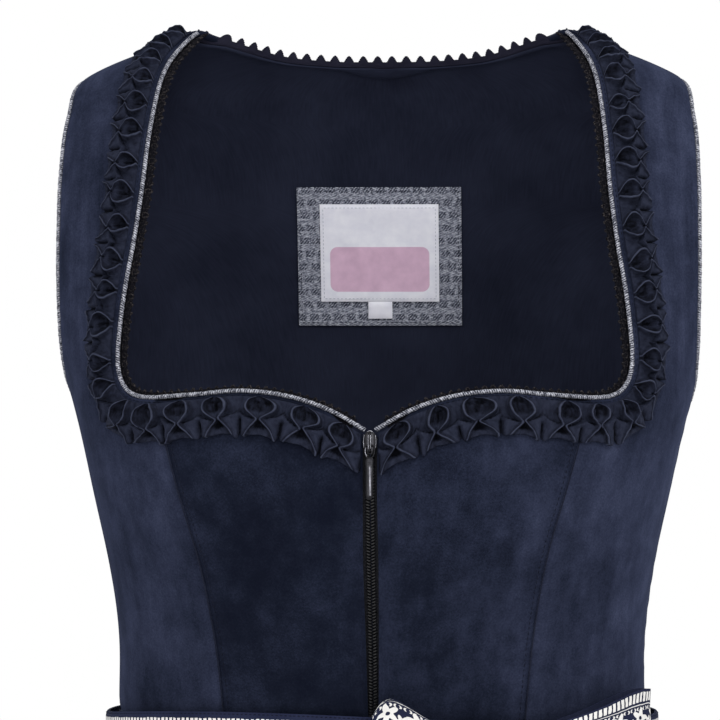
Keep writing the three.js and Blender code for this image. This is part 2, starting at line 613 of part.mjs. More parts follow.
piece("zip_coil", zipStrip([-COIL.half, COIL.half], coilTop, COIL.from, COIL.thick), CLOTH.tape);

// The slider's own frame: x across, y up the zip, z out of the cloth.
const acrossZip = new THREE.Vector3(1, 0, 0);
const sliderOut = outward(0, ZIP.top - SLIDER.length / 2);
const slider = new THREE.Group();
slider.matrixAutoUpdate = false;
slider.matrix.makeBasis(acrossZip, new THREE.Vector3().crossVectors(sliderOut, acrossZip), sliderOut)
  .setPosition(torso(0, ZIP.top));
dirndl.add(slider);

const shapeOf = (points) => new THREE.Shape(points.map(([x, y]) => new THREE.Vector2(x, y)));
const holeOf = (points) => new THREE.Path(points.map(([x, y]) => new THREE.Vector2(x, y)));
function slab(shape, from, to) {
  return new THREE.ExtrudeGeometry(shape, { depth: to - from, bevelEnabled: false }).translate(0, 0, from);
}
function joined(...geometries) {
  const solids = geometries.map((geometry) => {
    const bare = geometry.clone().deleteAttribute("normal").deleteAttribute("uv");
    const merged = mergeVertices(bare);
    const vertProperties = merged.attributes.position.array;
    const triVerts = new Uint32Array(merged.index.array);
    return new wasm.Manifold(new wasm.Mesh({ numProp: 3, vertProperties, triVerts }));
  });
  const mesh = solids.reduce((all, one) => all.add(one)).getMesh();
  const geometry = new THREE.BufferGeometry();
  geometry.setAttribute("position", new THREE.BufferAttribute(mesh.vertProperties, 3));
  geometry.setIndex(new THREE.BufferAttribute(mesh.triVerts, 1));
  geometry.computeVertexNormals();
  return geometry;
}

// Slider: a plate with rounded flanks, and over it the bridge that the pull's cross bar turns under.
const plate = slab(shapeOf([
  [-1.6, 0], [1.6, 0], [SLIDER.half, -2.4], [SLIDER.half, -7], [2.2, -SLIDER.length],
  [-2.2, -SLIDER.length], [-SLIDER.half, -7], [-SLIDER.half, -2.4],
]), SLIDER.plateFrom, SLIDER.plateTo);
const bridgeSide = shapeOf([
  [-SLIDER.edge, SLIDER.plateFrom + 0.3], [-SLIDER.edge, BRIDGE.over - BRIDGE.chamfer],
  [-SLIDER.edge - BRIDGE.chamfer, BRIDGE.over], [-SLIDER.length + SLIDER.edge + BRIDGE.chamfer, BRIDGE.over],
  [-SLIDER.length + SLIDER.edge, BRIDGE.over - BRIDGE.chamfer],
  [-SLIDER.length + SLIDER.edge, SLIDER.plateFrom + 0.3],
]);
bridgeSide.holes.push(holeOf([
  [-SLIDER.edge - BRIDGE.foot, SLIDER.plateTo], [-SLIDER.edge - BRIDGE.foot, BRIDGE.under],
  [-SLIDER.length + SLIDER.edge + BRIDGE.foot, BRIDGE.under],
  [-SLIDER.length + SLIDER.edge + BRIDGE.foot, SLIDER.plateTo],
]));
const standing = new THREE.Matrix4().makeBasis(
  new THREE.Vector3(0, 1, 0), new THREE.Vector3(0, 0, 1), new THREE.Vector3(1, 0, 0));
const bridge = slab(bridgeSide, -BRIDGE.half, BRIDGE.half).applyMatrix4(standing);
piece("zip_slider", joined(plate, bridge), CLOTH.metal, slider);

// Pull: a cross bar under the bridge, an arm on each side of it, and the tab.
const armOuter = PULL.arm + PULL.edge;
const pullShape = shapeOf([
  [-armOuter, PULL.at + PULL.bar], [armOuter, PULL.at + PULL.bar], [armOuter, PULL.tab],
  [PULL.half, PULL.tab - 2.5], [PULL.half, PULL.end + 1.2], [1, PULL.end],
  [-1, PULL.end], [-PULL.half, PULL.end + 1.2], [-PULL.half, PULL.tab - 2.5], [-armOuter, PULL.tab],
]);
pullShape.holes.push(holeOf([
  [-PULL.arm, PULL.at - PULL.bar], [-PULL.arm, PULL.tab + PULL.bar],
  [PULL.arm, PULL.tab + PULL.bar], [PULL.arm, PULL.at - PULL.bar],
]));
const pull = slab(pullShape, PULL.axis - PULL.thick / 2, PULL.axis + PULL.thick / 2);
piece("zip_pull", pull, CLOTH.metal, slider);

// A point on a ring round the body, from the section's size, the angle, the height and a distance outwards.
function ringPoint({ half, front, back }, squareness, angle, z, out) {
  const s = Math.sin(angle);
  const c = Math.cos(angle);
  const depth = c >= 0 ? front : back;
  const r = (Math.abs(s) ** squareness + Math.abs(c) ** squareness) ** (-1 / squareness);
  const away = new THREE.Vector3(s / half, -c / depth, 0).normalize();
  return new THREE.Vector3(half * r * s, -depth * r * c, z).addScaledVector(away, out);
}
const bellSection = (z) => ({
  half: through(BELL, z, "half"), front: through(BELL, z, "front"), back: through(BELL, z, "back"),
});
const ROUND_BELOW = { from: -366, by: -440 }; // where the skirt's sections turn into plain ellipses
function bell(angle, z, out) {
  const squareness = lerp(2, SQUARENESS, THREE.MathUtils.smoothstep(z, ROUND_BELOW.by, ROUND_BELOW.from));
  return ringPoint(bellSection(z), squareness, angle, z, out);
}

// Folds run from 0 in the valleys to 1 on the crests. Some are deeper than others, and they lean a little.
function foldAt(angle, z, count) {
  const uneven = 0.35 * Math.sin(3 * angle + 1);
  const lean = 0.4 * Math.sin((z + WAIST_DROP) / 260 + 2 * angle);
  const phase = count * angle + uneven + lean;
  const depth = 0.8 + 0.2 * Math.sin(5 * angle + 0.6);
  return depth * (0.5 + 0.5 * Math.cos(phase));
}

// Skirt: four gathered widths round the bell, from the waist seam to the hem.
const hem = -WAIST_DROP - SKIRT_LENGTH;
const BELOW_BAND = -365.5;
const SPREAD_ROWS = [BELOW_BAND, -380, -396, -440, -540, -720]; // for the apron and its ties too
const skirtRows = [-WAIST_DROP - TRIM_GAP, -352, ...SPREAD_ROWS, hem];
const skirtColumns = (SKIRT_FOLDS / 4) * FOLD_COLUMNS;
const WIDTHS = ["skirt_front_left", "skirt_back_left", "skirt_back_right", "skirt_front_right"];
WIDTHS.forEach((name, quarter) => {
  const face = (depth) => skirtRows.map((z) => {
    const gap = SEAM_HALF_GAP / bellSection(z).back;
    const from = (quarter * Math.PI) / 2 + gap;
    const to = ((quarter + 1) * Math.PI) / 2 - gap;
    return list(skirtColumns + 1, (j) => {
      const angle = lerp(from, to, j / skirtColumns);
      return bell(angle, z, through(BELL, z, "fold") * (2 * foldAt(angle, z, SKIRT_FOLDS) - 1) - depth);
    });
  });
  piece(name, wall(face(0), face(SKIRT_WALL)), CLOTH.skirt);
});

// Apron: its band round the waist, over the skirt's gathers, and its own gathered width over the front.
const waistPoint = (angle, z, out) => ringPoint(WAIST, SQUARENESS, angle, z, out);
const bandFace = (depth) => BAND_ROWS.map(({ z, out }) =>
  list(BAND.columns, (j) => waistPoint((2 * Math.PI * j) / BAND.columns, z, out + depth)));
piece("apron_band", wall(bandFace(BAND.wall), bandFace(0), true), CLOTH.print);

const apronFold = (z) => APRON_FOLD_SHARE * through(BELL, z, "fold");
const apronValley = (z) => through(BELL, z, "fold") + TRIM_GAP + APRON_WALL;
const APRON_FOLD_COUNT = SKIRT_FOLDS * 0.85; // round the whole waist
const apronRows = [...SPREAD_ROWS, hem + APRON_SHORTER];
const apronColumns = APRON_FOLDS * FOLD_COLUMNS;
const apronFace = (depth) => apronRows.map((z) => list(apronColumns + 1, (j) => {
  const angle = lerp(-APRON_REACH, APRON_REACH, j / apronColumns);
  return bell(angle, z, apronValley(z) + 2 * apronFold(z) * foldAt(angle, z, APRON_FOLD_COUNT) - depth);
}));
piece("apron", wall(apronFace(0), apronFace(APRON_WALL)), CLOTH.print);
const apronCrest = (z) => apronValley(z) + 2 * apronFold(z);

// Bow at the front left, of the apron's ties. Its places are distances round the waist from the knot, heights,
// and distances out from what lies under it.
function waistAngle(distance) {
  const steps = 40;
  const turn = 1e-3;
  let angle = BOW_AT;
  for (let i = 0; i < steps; i += 1) {
    const next = waistPoint(angle + turn, BOW_Z, BAND.wall);
    const speed = next.distanceTo(waistPoint(angle, BOW_Z, BAND.wall)) / turn;
    angle += distance / steps / speed;
  }
  return angle;
}
const bandBottom = BAND_ROWS[2];
function underBow(z) {
  const band = through(BAND_ROWS, z, "out") + BAND.wall;
  if (z > bandBottom.z) return band;
  return Math.max(band, bellSection(z).half - WAIST.half + apronCrest(z));
}
const KNOT = { half: 9, top: -338.5, bottom: -365, thick: 15, off: 0.6 };
const LOOPS = [
  { name: "bow_loop_right", way: -1, length: 58, rise: 2, depth: 15 },
  { name: "bow_loop_left", way: 1, length: 78, rise: 6, depth: 15 },
];
const LOOP_STEPS = 14;
const LOOP_ENDS_APART = 1.1;
const LOOP_OFF = 2.8;
function loop({ way, length, rise, depth }) {
  const path = list(LOOP_STEPS + 1, (i) => {
    const turn = (2 * Math.PI * i) / LOOP_STEPS;
    const away = KNOT.half + TRIM_GAP + (length * (1 - Math.cos(turn))) / 2;
    const out = LOOP_OFF + (depth / 2) * (1 + Math.sin(turn)) + LOOP_ENDS_APART * Math.cos(turn / 2);
    return new THREE.Vector2(away, out);
  });
  const face = (depthIn) => path.map((p, i) => {
    const tangent = path[Math.min(i + 1, LOOP_STEPS)].clone().sub(path[Math.max(i - 1, 0)]).normalize();
    const away = p.x - tangent.y * depthIn;
    const out = p.y + tangent.x * depthIn;
    const share = clamp((p.x - KNOT.half) / length, 0, 1);
    const spread = lerp(0.42, 1, THREE.MathUtils.smoothstep(share, 0, 0.5));
    const angle = waistAngle(way * Math.max(away, KNOT.half + TRIM_GAP));
    return [-0.5, -0.17, 0.17, 0.5].map((across) => {
      const z = BOW_Z + rise * share + across * TIE.width * spread;
      return waistPoint(angle, z, underBow(z) + out);
    });
  });
  return wall(face(TIE.wall / 2), face(-TIE.wall / 2));
}
for (const shape of LOOPS) piece(shape.name, loop(shape), CLOTH.print);

// Knot: a rounded roll of cloth across the ties.
const KNOT_RINGS = 6;
const knotRings = list(KNOT_RINGS + 1, (i) => {
  const t = i / KNOT_RINGS;
  const z = lerp(KNOT.bottom, KNOT.top, t);
  const size = lerp(0.62, 1, Math.sin(Math.PI * t) ** 0.6);
  return list(10, (k) => {
    const a = (2 * Math.PI * k) / 10;
    const out = underBow(z) + KNOT.off + (KNOT.thick / 2) * (1 + size * Math.sin(a));
    return waistPoint(waistAngle(KNOT.half * size * Math.cos(a)), z, out);
  });
});
piece("bow_knot", bar(knotRings), CLOTH.print);

// Tails: the ties' free ends, hanging from the knot over the apron.
const TAIL = { narrow: 8, spread: 55, drift: 26, off: 0.8, folds: 0.8 };
const tailRows = [...SPREAD_ROWS.slice(0, 4), -490, SPREAD_ROWS[4], -600, -665];
const TAILS = [{ name: "bow_tail_right", way: -1 }, { name: "bow_tail_left", way: 1 }];
for (const { name, way } of TAILS) {
  const face = (depth) => tailRows.map((z) => {
    const down = tailRows[0] - z;
    const width = lerp(TAIL.narrow, TIE.width, THREE.MathUtils.smoothstep(down, 0, TAIL.spread));
    const inner = TRIM_GAP + (TAIL.drift * down) / (tailRows[0] - tailRows[tailRows.length - 1]);
    return list(5, (j) => {
      const fromBow = waistAngle(way * (inner + (width * j) / 4)) - BOW_AT;
      const angle = BOW_AT + (fromBow * WAIST.half) / bellSection(z).half;
      const wave = TAIL.folds * (1 - Math.cos(Math.PI * j)) * Math.abs(Math.sin(down / 60));
      return bell(angle, z, apronCrest(z) + TAIL.off + TIE.wall + wave - depth);
    });
  });
  piece(name, wall(face(0), face(TIE.wall)), CLOTH.print);
}

export default dirndl;
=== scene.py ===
"""A sleeveless navy dirndl as it hangs on a wearer: suede bodice, frog-mouth ruche, glitter piping, front
zip, gathered skirt and a printed apron tied in a bow. The shapes are worked out in millimetres, in the
frame's axes."""

from types import SimpleNamespace

import bpy
import numpy as np
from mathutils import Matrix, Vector


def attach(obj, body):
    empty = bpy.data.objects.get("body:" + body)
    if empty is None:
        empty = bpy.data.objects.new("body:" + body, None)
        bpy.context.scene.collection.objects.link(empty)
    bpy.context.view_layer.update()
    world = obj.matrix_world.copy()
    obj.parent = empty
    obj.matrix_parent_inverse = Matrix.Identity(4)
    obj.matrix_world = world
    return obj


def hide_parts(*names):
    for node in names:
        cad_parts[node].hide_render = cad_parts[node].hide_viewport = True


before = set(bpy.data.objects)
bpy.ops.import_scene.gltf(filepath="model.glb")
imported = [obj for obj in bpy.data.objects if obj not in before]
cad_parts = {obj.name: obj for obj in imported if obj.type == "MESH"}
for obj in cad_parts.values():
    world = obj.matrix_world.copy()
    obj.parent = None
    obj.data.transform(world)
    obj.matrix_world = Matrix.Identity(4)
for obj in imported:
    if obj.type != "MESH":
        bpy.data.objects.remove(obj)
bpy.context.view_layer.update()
MM = 0.001

# Driving dimensions, as in the part.
WAIST_DROP = 340
SKIRT_LENGTH = 600
APRON_SHORTER = 45
NECK_HALF = 91
TIP_X, TIP_Z = 149.5, -25
UNDERARM = -185
BUST = SimpleNamespace(x=82, z=-222, rise=7, wide=42, tall=48)
BODICE_WALL = 2
SKIRT_WALL = 1.6
APRON_WALL = 1.2
BAND_WALL = 2
TRIM_GAP = 0.35
PIPING_RADIUS = 1.2
SQUARENESS = 2.3
RUCHE = SimpleNamespace(units=21, inner=3.2, width=18.5, lift=0.8, rim=5.2, pinch=0.64, fan=45, starts=2.2)
PICOT = SimpleNamespace(under=2.4, back_teeth=28, back_tooth=5.4, back_valley=2.2)
FACING = SimpleNamespace(start=0.6, width=6, thick=1)
LABEL = SimpleNamespace(x=-5, wall=1, off=0.9, clear=0.6)
ZIP = SimpleNamespace(top=-199, tape=11, thick=1, level=-3.8)
COIL = SimpleNamespace(off=1.12, level=-2.3, pitch=1.5, top=-210.35, half_turn=(1.4, 0.5, 0.72))
BOW_AT = np.radians(26)
BOW_Z = -352
TIE = SimpleNamespace(width=44, wall=1.2)
HEM = -WAIST_DROP - SKIRT_LENGTH

# Tables: a height, then the sizes there.
HALF, FRONT, BACK, FOLD = 1, 2, 3, 4
SECTIONS = np.array([
    (-340, 131, 88, 80), (-305, 131.2, 97, 82), (-265, 136.3, 112, 87), (-225, 144.8, 121, 93),
    (-185, 154.5, 117, 96), (-150, 165, 107, 93), (-110, 171, 94, 84), (-75, 170, 80, 72),
    (-45, 162, 63, 56), (-25, 149.5, 48, 42), (0, 91, 20, 20),
])
BELL = np.array([
    (-940, 300, 262, 272, 17), (-760, 276, 238, 250, 14), (-600, 246, 208, 220, 10),
    (-480, 212, 172, 186, 6.5), (-410, 176, 134, 143, 3.6), (-366, 135, 92, 84, 1.7),
    (-350, 133, 90, 82, 1.5), (-340, 131, 88, 80, 0.6),
])
BAND_ROWS = np.array([(-337, 5), (-351, 5.2), (-365, 6.4)])
BAND_TOP, _, BAND_BOTTOM = BAND_ROWS[:, 0]
PRINCESS_FRONT = np.array([(-340, 73), (-300, 77), (-260, 84), (-225, 94), (-203, 100), (-183, 105)])
PRINCESS_BACK = np.array([
    (-340, 50), (-280, 54), (-220, 62), (-185, 69), (-150, 78), (-123, 91), (-99, 114),
])
ZIP_HALF_GAP = np.array([(-340, 2.5), (-300, 3.2), (-262, 3.7), (-225, 3.4), (-198, 3.6)])

# Edges on the bodice, as width and height seen from the front.
NECK_FRONT = np.array([(2.4, -198.3), (20, -188.5), (40, -182), (62, -179.5), (84, -181.2), (105, -183)])
NECK_CORNER = np.array([
    (105, -183), (113, -182.6), (119, -180.4), (123, -175.6), (125, -168.5), (125.2, -160),
])
NECK_SIDE = np.array([
    (125.2, -160), (122.7, -136), (118, -108), (114.5, -82), (112.3, -57), (109, -33), (103.5, -15), (91, 0),
])
NECK_BACK = np.array([(91, 0), (86, -2), (71, -6.5), (51, -11.8), (26, -14.2), (0, -14.6)])
ARMHOLE = np.array([
    (154.5, -185), (156.2, -178), (157.2, -167), (158, -150), (158.4, -128), (158.4, -98), (158, -73),
    (156.6, -50), (154.4, -34), (149.5, -25),
])


# The bodice's surface.
def lerp(a, b, t):
    return a + (b - a) * t


def smoothstep(x, low, high):
    """0 below low, 1 above high, and 3t^2 - 2t^3 between them."""
    t = np.clip((x - low) / (high - low), 0, 1)
    return t * t * (3 - 2 * t)


def unit(v):
    return v / np.maximum(np.linalg.norm(v, axis=-1, keepdims=True), 1e-12)


def heading(line):
    """The direction of a line at each of its points."""
    return unit(np.gradient(line, axis=0))


def stacked(*parts):
    """Arrays as the columns of one, each repeated where it is shorter."""
    return np.stack(np.broadcast_arrays(*parts), -1)


def bell_curve(x, width):
    """e to the power of minus (x over width) squared."""
    return np.exp(-((x / width) ** 2))


def through(rows, column, z):
    """A table's column at height z, on cubics through its rows. A row's slope is the mean of the two beside
    it, each weighted by the other's gap."""
    table = rows[np.argsort(rows[:, 0])]
    height = table[:, 0]
    value = table[:, column]
    gap = np.diff(height)
    slope = np.diff(value) / gap
    middle = (slope[:-1] * gap[1:] + slope[1:] * gap[:-1]) / (gap[:-1] + gap[1:])
    bend = np.concatenate([slope[:1], middle, slope[-1:]])
    at = np.clip(z, height[0], height[-1])
    i = np.clip(np.searchsorted(height, at, side="right") - 1, 0, len(gap) - 1)
    t = (at - height[i]) / gap[i]
    ends = (2 * t**3 - 3 * t**2 + 1) * value[i] + (3 * t**2 - 2 * t**3) * value[i + 1]
    return ends + gap[i] * ((t**3 - 2 * t**2 + t) * bend[i] + (t**3 - t**2) * bend[i + 1])


def torso(angle, z):
    """The bodice's outer surface: at each height half of a superellipse in front and half of one behind,
    with a Gaussian rise on each side of the bust. The angle runs from the centre front, 0, to the centre
    back."""
    angle, z = np.broadcast_arrays(np.asarray(angle, float), np.asarray(z, float))
    s = np.sin(angle)
    c = np.cos(angle)
    r = (np.abs(s) ** SQUARENESS + np.abs(c) ** SQUARENESS) ** (-1 / SQUARENESS)
    x = through(SECTIONS, HALF, z) * r * s
    depth = np.where(c >= 0, through(SECTIONS, FRONT, z), through(SECTIONS, BACK, z))
    rise = BUST.rise * bell_curve(np.abs(x) - BUST.x, BUST.wide) * bell_curve(z - BUST.z, BUST.tall)
    return np.stack([x, -depth * r * c - rise * np.clip(3 * c, 0, 1), z], -1)


def angle_of(x, z, back=False):
    """The angle of the point at width x and height z: the inverse of the superellipse."""
    q = np.minimum(1, np.abs(x) / through(SECTIONS, HALF, z))
    angle = np.arctan2(q, (1 - q**SQUARENESS) ** (1 / SQUARENESS))
    return np.where(np.asarray(x) < 0, -1, 1) * (np.pi - angle if back else angle)


def spots_at(x, z, back=False):
    return stacked(angle_of(x, z, back), z)


def on_body(spots):
    return torso(spots[..., 0], spots[..., 1])


def slopes(angle, z):
    """Steps round and up the surface, by central differences, staying just under its top."""
    step = 1e-3
    low = np.minimum(z, -2 * step)
    round_ = (torso(angle + step, z) - torso(angle - step, z)) / (2 * step)
    return round_, (torso(angle, low + step) - torso(angle, low - step)) / (2 * step)


def outward(spots):
    return unit(np.cross(*slopes(spots[..., 0], spots[..., 1])))


def lifted(spots, height):
    """Points moved off the surface along its normal."""
    return on_body(spots) + outward(spots) * np.asarray(height, float)[..., None]


def spot_near(points, back=False):
    """The spots nearest points just off the surface, by eight Gauss-Newton steps."""
    z = np.minimum(points[..., 2], 0)
    depth = through(SECTIONS, BACK if back else FRONT, z)
    start = np.maximum(np.abs(points[..., 1]), 1e-6) * (-1 if back else 1)
    angle = np.arctan2(points[..., 0] / through(SECTIONS, HALF, z), start / depth)
    for _ in range(8):
        off = points - torso(angle, z)
        round_, up = slopes(angle, z)
        rr = (round_ * round_).sum(-1)
        uu = (up * up).sum(-1)
        ru = (round_ * up).sum(-1)
        along = (off * round_).sum(-1)
        rising = (off * up).sum(-1)
        scale = rr * uu - ru * ru
        angle = angle + (along * uu - rising * ru) / scale
        z = np.minimum(z + (rising * rr - along * ru) / scale, 0)
    return stacked(angle, z)


def rope(points, share=0.5, steps=60):
    """A smooth line through points: cubics whose tangents weigh each chord by a power of its length."""
    padded = np.vstack([2 * points[0] - points[1], points, 2 * points[-1] - points[-2]])
    t = np.linspace(0, 1, steps, endpoint=False)[:, None]
    parts = []
    for p0, p1, p2, p3 in zip(padded, padded[1:], padded[2:], padded[3:]):
        d0, d1, d2 = (np.linalg.norm(b - a) ** share for a, b in ((p0, p1), (p1, p2), (p2, p3)))
        m1 = ((p1 - p0) / d0 - (p2 - p0) / (d0 + d1) + (p2 - p1) / d1) * d1
        m2 = ((p2 - p1) / d1 - (p3 - p1) / (d1 + d2) + (p3 - p2) / d2) * d1
        ends = (2 * t**3 - 3 * t**2 + 1) * p1 + (3 * t**2 - 2 * t**3) * p2
        parts.append(ends + (t**3 - 2 * t**2 + t) * m1 + (t**3 - t**2) * m2)
    return np.vstack([*parts, points[-1:]])


def run_of(points):
    """The distance along a line of points."""
    return np.concatenate([[0], np.cumsum(np.linalg.norm(np.diff(points, axis=0), axis=-1))])


def read(values, run, at):
    """Rows of values at distances along a line, each column interpolated."""
    at = np.asarray(at, float)
    flat = [np.interp(at.ravel(), run, column) for column in np.asarray(values, float).T]
    return np.stack(flat, -1).reshape(*at.shape, len(flat))


def stations(spots, along, turn, back):
    """Places on an edge, with outwards and, square to both, the way into the cloth."""
    out = outward(spots)
    into = unit(np.cross(out, along)) * turn
    return SimpleNamespace(spots=spots, points=on_body(spots), out=out, into=into, back=back)


def edge(table, count, back=False, cloth_on_left=False):
    """Stations evenly spaced along a smooth line through a table's points on the body."""
    line = rope(torso(angle_of(table[:, 0], table[:, 1], back), table[:, 1]))
    run = run_of(line)
    at = np.linspace(0, run[-1], count + 1)
    along = unit(read(np.gradient(line, axis=0), run, at))
    return stations(spot_near(read(line, run, at), back), along, 1 if cloth_on_left else -1, back)


def chain(*parts):
    """Edges that follow each other, made one. Each starts where the last one ended."""
    keys = ("spots", "points", "out", "into")
    whole = {k: np.vstack([getattr(p, k)[1 if i else 0:] for i, p in enumerate(parts)]) for k in keys}
    return SimpleNamespace(back=parts[0].back, **whole)


def inset(place, distance):
    """Spots moved from an edge into the cloth."""
    return spot_near(place.points + place.into * distance, place.back)


def beside(spots, distance):
    """Spots moved round the body by a distance."""
    step = 1e-3
    speed = np.linalg.norm(torso(spots[..., 0] + step, spots[..., 1]) - on_body(spots), axis=-1) / step
    return stacked(spots[..., 0] + distance / speed, spots[..., 1])


def seam_side(spots, distance, back=False):
    """A seam's spots moved square to it; a positive distance is towards the centre front."""
    along = np.gradient(on_body(spots), axis=0)
    moved = inset(stations(spots, along, 1, back), distance)
    moved[0, 1] = spots[0, 1]
    return moved


# Meshes.
def quads(number):
    """Faces between neighbouring rows and columns of a grid of vertex numbers."""
    corners = (number[:-1, :-1], number[:-1, 1:], number[1:, 1:], number[1:, :-1])
    return np.stack(corners, -1).reshape(-1, 4)


def rim(line, depth, forward):
    """Faces from a border to its twin, depth numbers on."""
    a, b = (line[:-1], line[1:]) if forward else (line[1:], line[:-1])
    return np.stack([a, b, b + depth, a + depth], -1)


def volume_sign(vertices, faces):
    """The sign of the sum of the tetrahedra from the origin to each face."""
    a, b, c = (vertices[faces[:, k]] for k in range(3))
    d = vertices[faces[:, -1]]
    return np.sign((a * np.cross(b, c)).sum() + (a * np.cross(c, d)).sum())


def mesh_piece(name, vertices, faces, finishes, layers, kinds=0, sharp=40):
    """A closed mesh from points in millimetres and faces, turned to face out, with a finish for each kind
    of face and smooth shading between faces that meet at less than the sharp angle. A layer holds a pair of
    values a point. A face loses the corners that it has twice."""
    if volume_sign(vertices, faces) < 0:
        faces = faces[:, ::-1]
    mesh = bpy.data.meshes.new(name)
    mesh.from_pydata((vertices * MM).tolist(), [], [tuple(dict.fromkeys(face)) for face in faces.tolist()])
    for finish in finishes if isinstance(finishes, list) else [finishes]:
        mesh.materials.append(finish)
    mesh.polygons.foreach_set("material_index", np.full(len(faces), kinds, np.int32))
    corners = np.empty(len(mesh.loops), np.int32)
    mesh.loops.foreach_get("vertex_index", corners)
    for key, pairs in layers.items():
        layer = mesh.uv_layers.new(name=key)
        layer.data.foreach_set("uv", pairs[corners].astype(np.float32).ravel())
    mesh.polygons.foreach_set("use_smooth", np.ones(len(faces), bool))
    mesh.set_sharp_from_angle(angle=np.radians(sharp))
    mesh.update()
    piece = bpy.data.objects.new(f"{name}_finished", mesh)
    bpy.context.scene.collection.objects.link(piece)
    return piece


def laid_out(grid):
    """Cloth coordinates of a grid in millimetres: the distance along its longest row, and down its
    middle."""
    rows = np.linalg.norm(np.diff(grid, axis=1), axis=-1)
    across = np.concatenate([[0], np.cumsum(rows[rows.sum(1).argmax()])])
    down = run_of(grid[:, grid.shape[1] // 2])
    return stacked(across[None, :], down[:, None])


def wall(name, outer, inner, finishes, uv=None, ring=False, sharp=40, painted_light=None):
    """A wall of cloth: two grids of points joined along their borders. The inner face may have its own
    finish. The last argument, a value a point, is painted light and shade, kept in a layer of its own."""
    rows, columns = outer.shape[:2]
    depth = rows * columns
    number = np.arange(depth).reshape(rows, columns)
    if ring:
        number = np.hstack([number, number[:, :1]])
    behind = quads(number + depth)[:, ::-1]
    borders = [rim(number[0], depth, False), rim(number[-1], depth, True)]
    if not ring:
        borders += [rim(number[:, 0], depth, True), rim(number[:, -1], depth, False)]
    faces = np.vstack([quads(number), *borders, behind])
    kinds = np.zeros(len(faces))
    kinds[len(faces) - len(behind):] = isinstance(finishes, list)
    flat = {"cloth": (laid_out(outer) if uv is None else uv) * MM}
    # painted light and shade for the ruche's colour, in the layer fold
    if painted_light is not None:
        flat["fold"] = stacked(painted_light, 0)
    layers = {key: np.vstack([pairs.reshape(-1, 2)] * 2) for key, pairs in flat.items()}
    vertices = np.vstack([outer.reshape(-1, 3), inner.reshape(-1, 3)])
    return mesh_piece(name, vertices, faces, finishes, layers, kinds, sharp)


def closed_rings(grid, tips=None):
    """Vertices and faces of a form from rings of points, closed by a tip at each end, or else on itself."""
    sides = grid.shape[1]
    first = grid.shape[0] * sides
    number = np.arange(first).reshape(-1, sides)
    number = np.hstack([number, number[:, :1]])
    vertices = grid.reshape(-1, 3)
    if tips is None:
        return vertices, quads(np.vstack([number, number[:1]]))
    caps = [np.stack([line[1:], line[:-1], tip, tip], -1) for line, tip in (
        (number[0], np.full(sides, first)), (number[-1][::-1], np.full(sides, first + 1)))]
    return np.vstack([vertices, tips]), np.vstack([quads(number), *caps])


def tube(centres, across, out, radius, sides, ring=False):
    """Vertices and faces of a round cord, circles of the given radius about each centre, and its cloth
    coordinates, which run along it and round it."""
    turn = 2 * np.pi * np.arange(sides) / sides
    radius = np.broadcast_to(np.asarray(radius, float), (len(centres), sides))[..., None]
    circle = across[:, None] * np.cos(turn)[:, None] + out[:, None] * np.sin(turn)[:, None]
    flat = stacked(run_of(centres)[:, None], turn * radius[0, 0, 0]).reshape(-1, 2)
    grid = centres[:, None] + circle * radius
    if ring:
        return *closed_rings(grid), flat
    return *closed_rings(grid, centres[[0, -1]]), np.vstack([flat, flat[[0, -1]]])


def cord_piece(name, shapes, finish):
    """Tubes and the like, as one piece."""
    starts = np.cumsum([0] + [len(vertices) for vertices, _, _ in shapes])
    faces = np.vstack([faces + start for (_, faces, _), start in zip(shapes, starts)])
    flat = np.vstack([pairs for _, _, pairs in shapes]) * MM
    return mesh_piece(name, np.vstack([s[0] for s in shapes]), faces, finish, {"cloth": flat}, sharp=60)


def spindle(sides=5, rings=5):
    """A unit spindle along x: circles whose radius is the root of 1 - x^2, with a point at each end."""
    x = np.linspace(-1, 1, rings + 2)[1:-1]
    vertices, faces, _ = tube(stacked(x, 0, 0), Y_AXIS, Z_AXIS, np.sqrt(1 - x**2)[:, None] + 0.1, sides)
    vertices[-2:, 0] = (-1, 1)
    return vertices, faces


def many(name, base, places, along, out, sizes, finish):
    """Copies of a small shape at places, each turned to its own axes and scaled, as one mesh. Point = place
    + x along + y beside + z out."""
    vertices, faces = base
    along = unit(along)
    across = unit(np.cross(out, along))
    axes = np.stack([along, across, unit(np.cross(along, across))], 1)
    scaled = vertices * np.broadcast_to(np.asarray(sizes, float), (len(places), 3))[:, None]
    moved = places[:, None] + np.einsum("npk,nkd->npd", scaled, axes)
    starts = np.arange(len(places))[:, None, None] * len(vertices)
    flat = np.zeros((len(places) * len(vertices), 2))
    return cord_piece(name, [(moved.reshape(-1, 3), (faces + starts).reshape(-1, 4), flat)], finish)


def evenly(line, pitch, *vectors):
    """Points every pitch along a line, the line's direction there, and each set of vectors read there."""
    run = run_of(line)
    at = np.arange(pitch / 2, run[-1], pitch)
    return [read(values, run, at) for values in (line, np.gradient(line, axis=0), *vectors)]


Y_AXIS = np.array([[0.0, 1.0, 0.0]])
Z_AXIS = np.array([[0.0, 0.0, 1.0]])
STITCH = spindle(4, 3)


def stitches(name, lines, finish, pitch=2.6, length=1.7, thick=0.34):
    """Dotted sewing: a spindle every pitch along each line of points with its normals."""
    found = [evenly(line, pitch, normal) for line, normal in lines]
    places, along, out = (np.vstack([f[k] for f in found]) for k in range(3))
    return many(name, STITCH, places, along, out, (length / 2, thick / 2, thick / 2), finish)


def on_side(points, side):
    return points if side == 1 else points * (-1, 1, 1)


def sided(side, *sets):
    return [on_side(points, side) for points in sets]


SIDES = ((1, "left"), (-1, "right"))


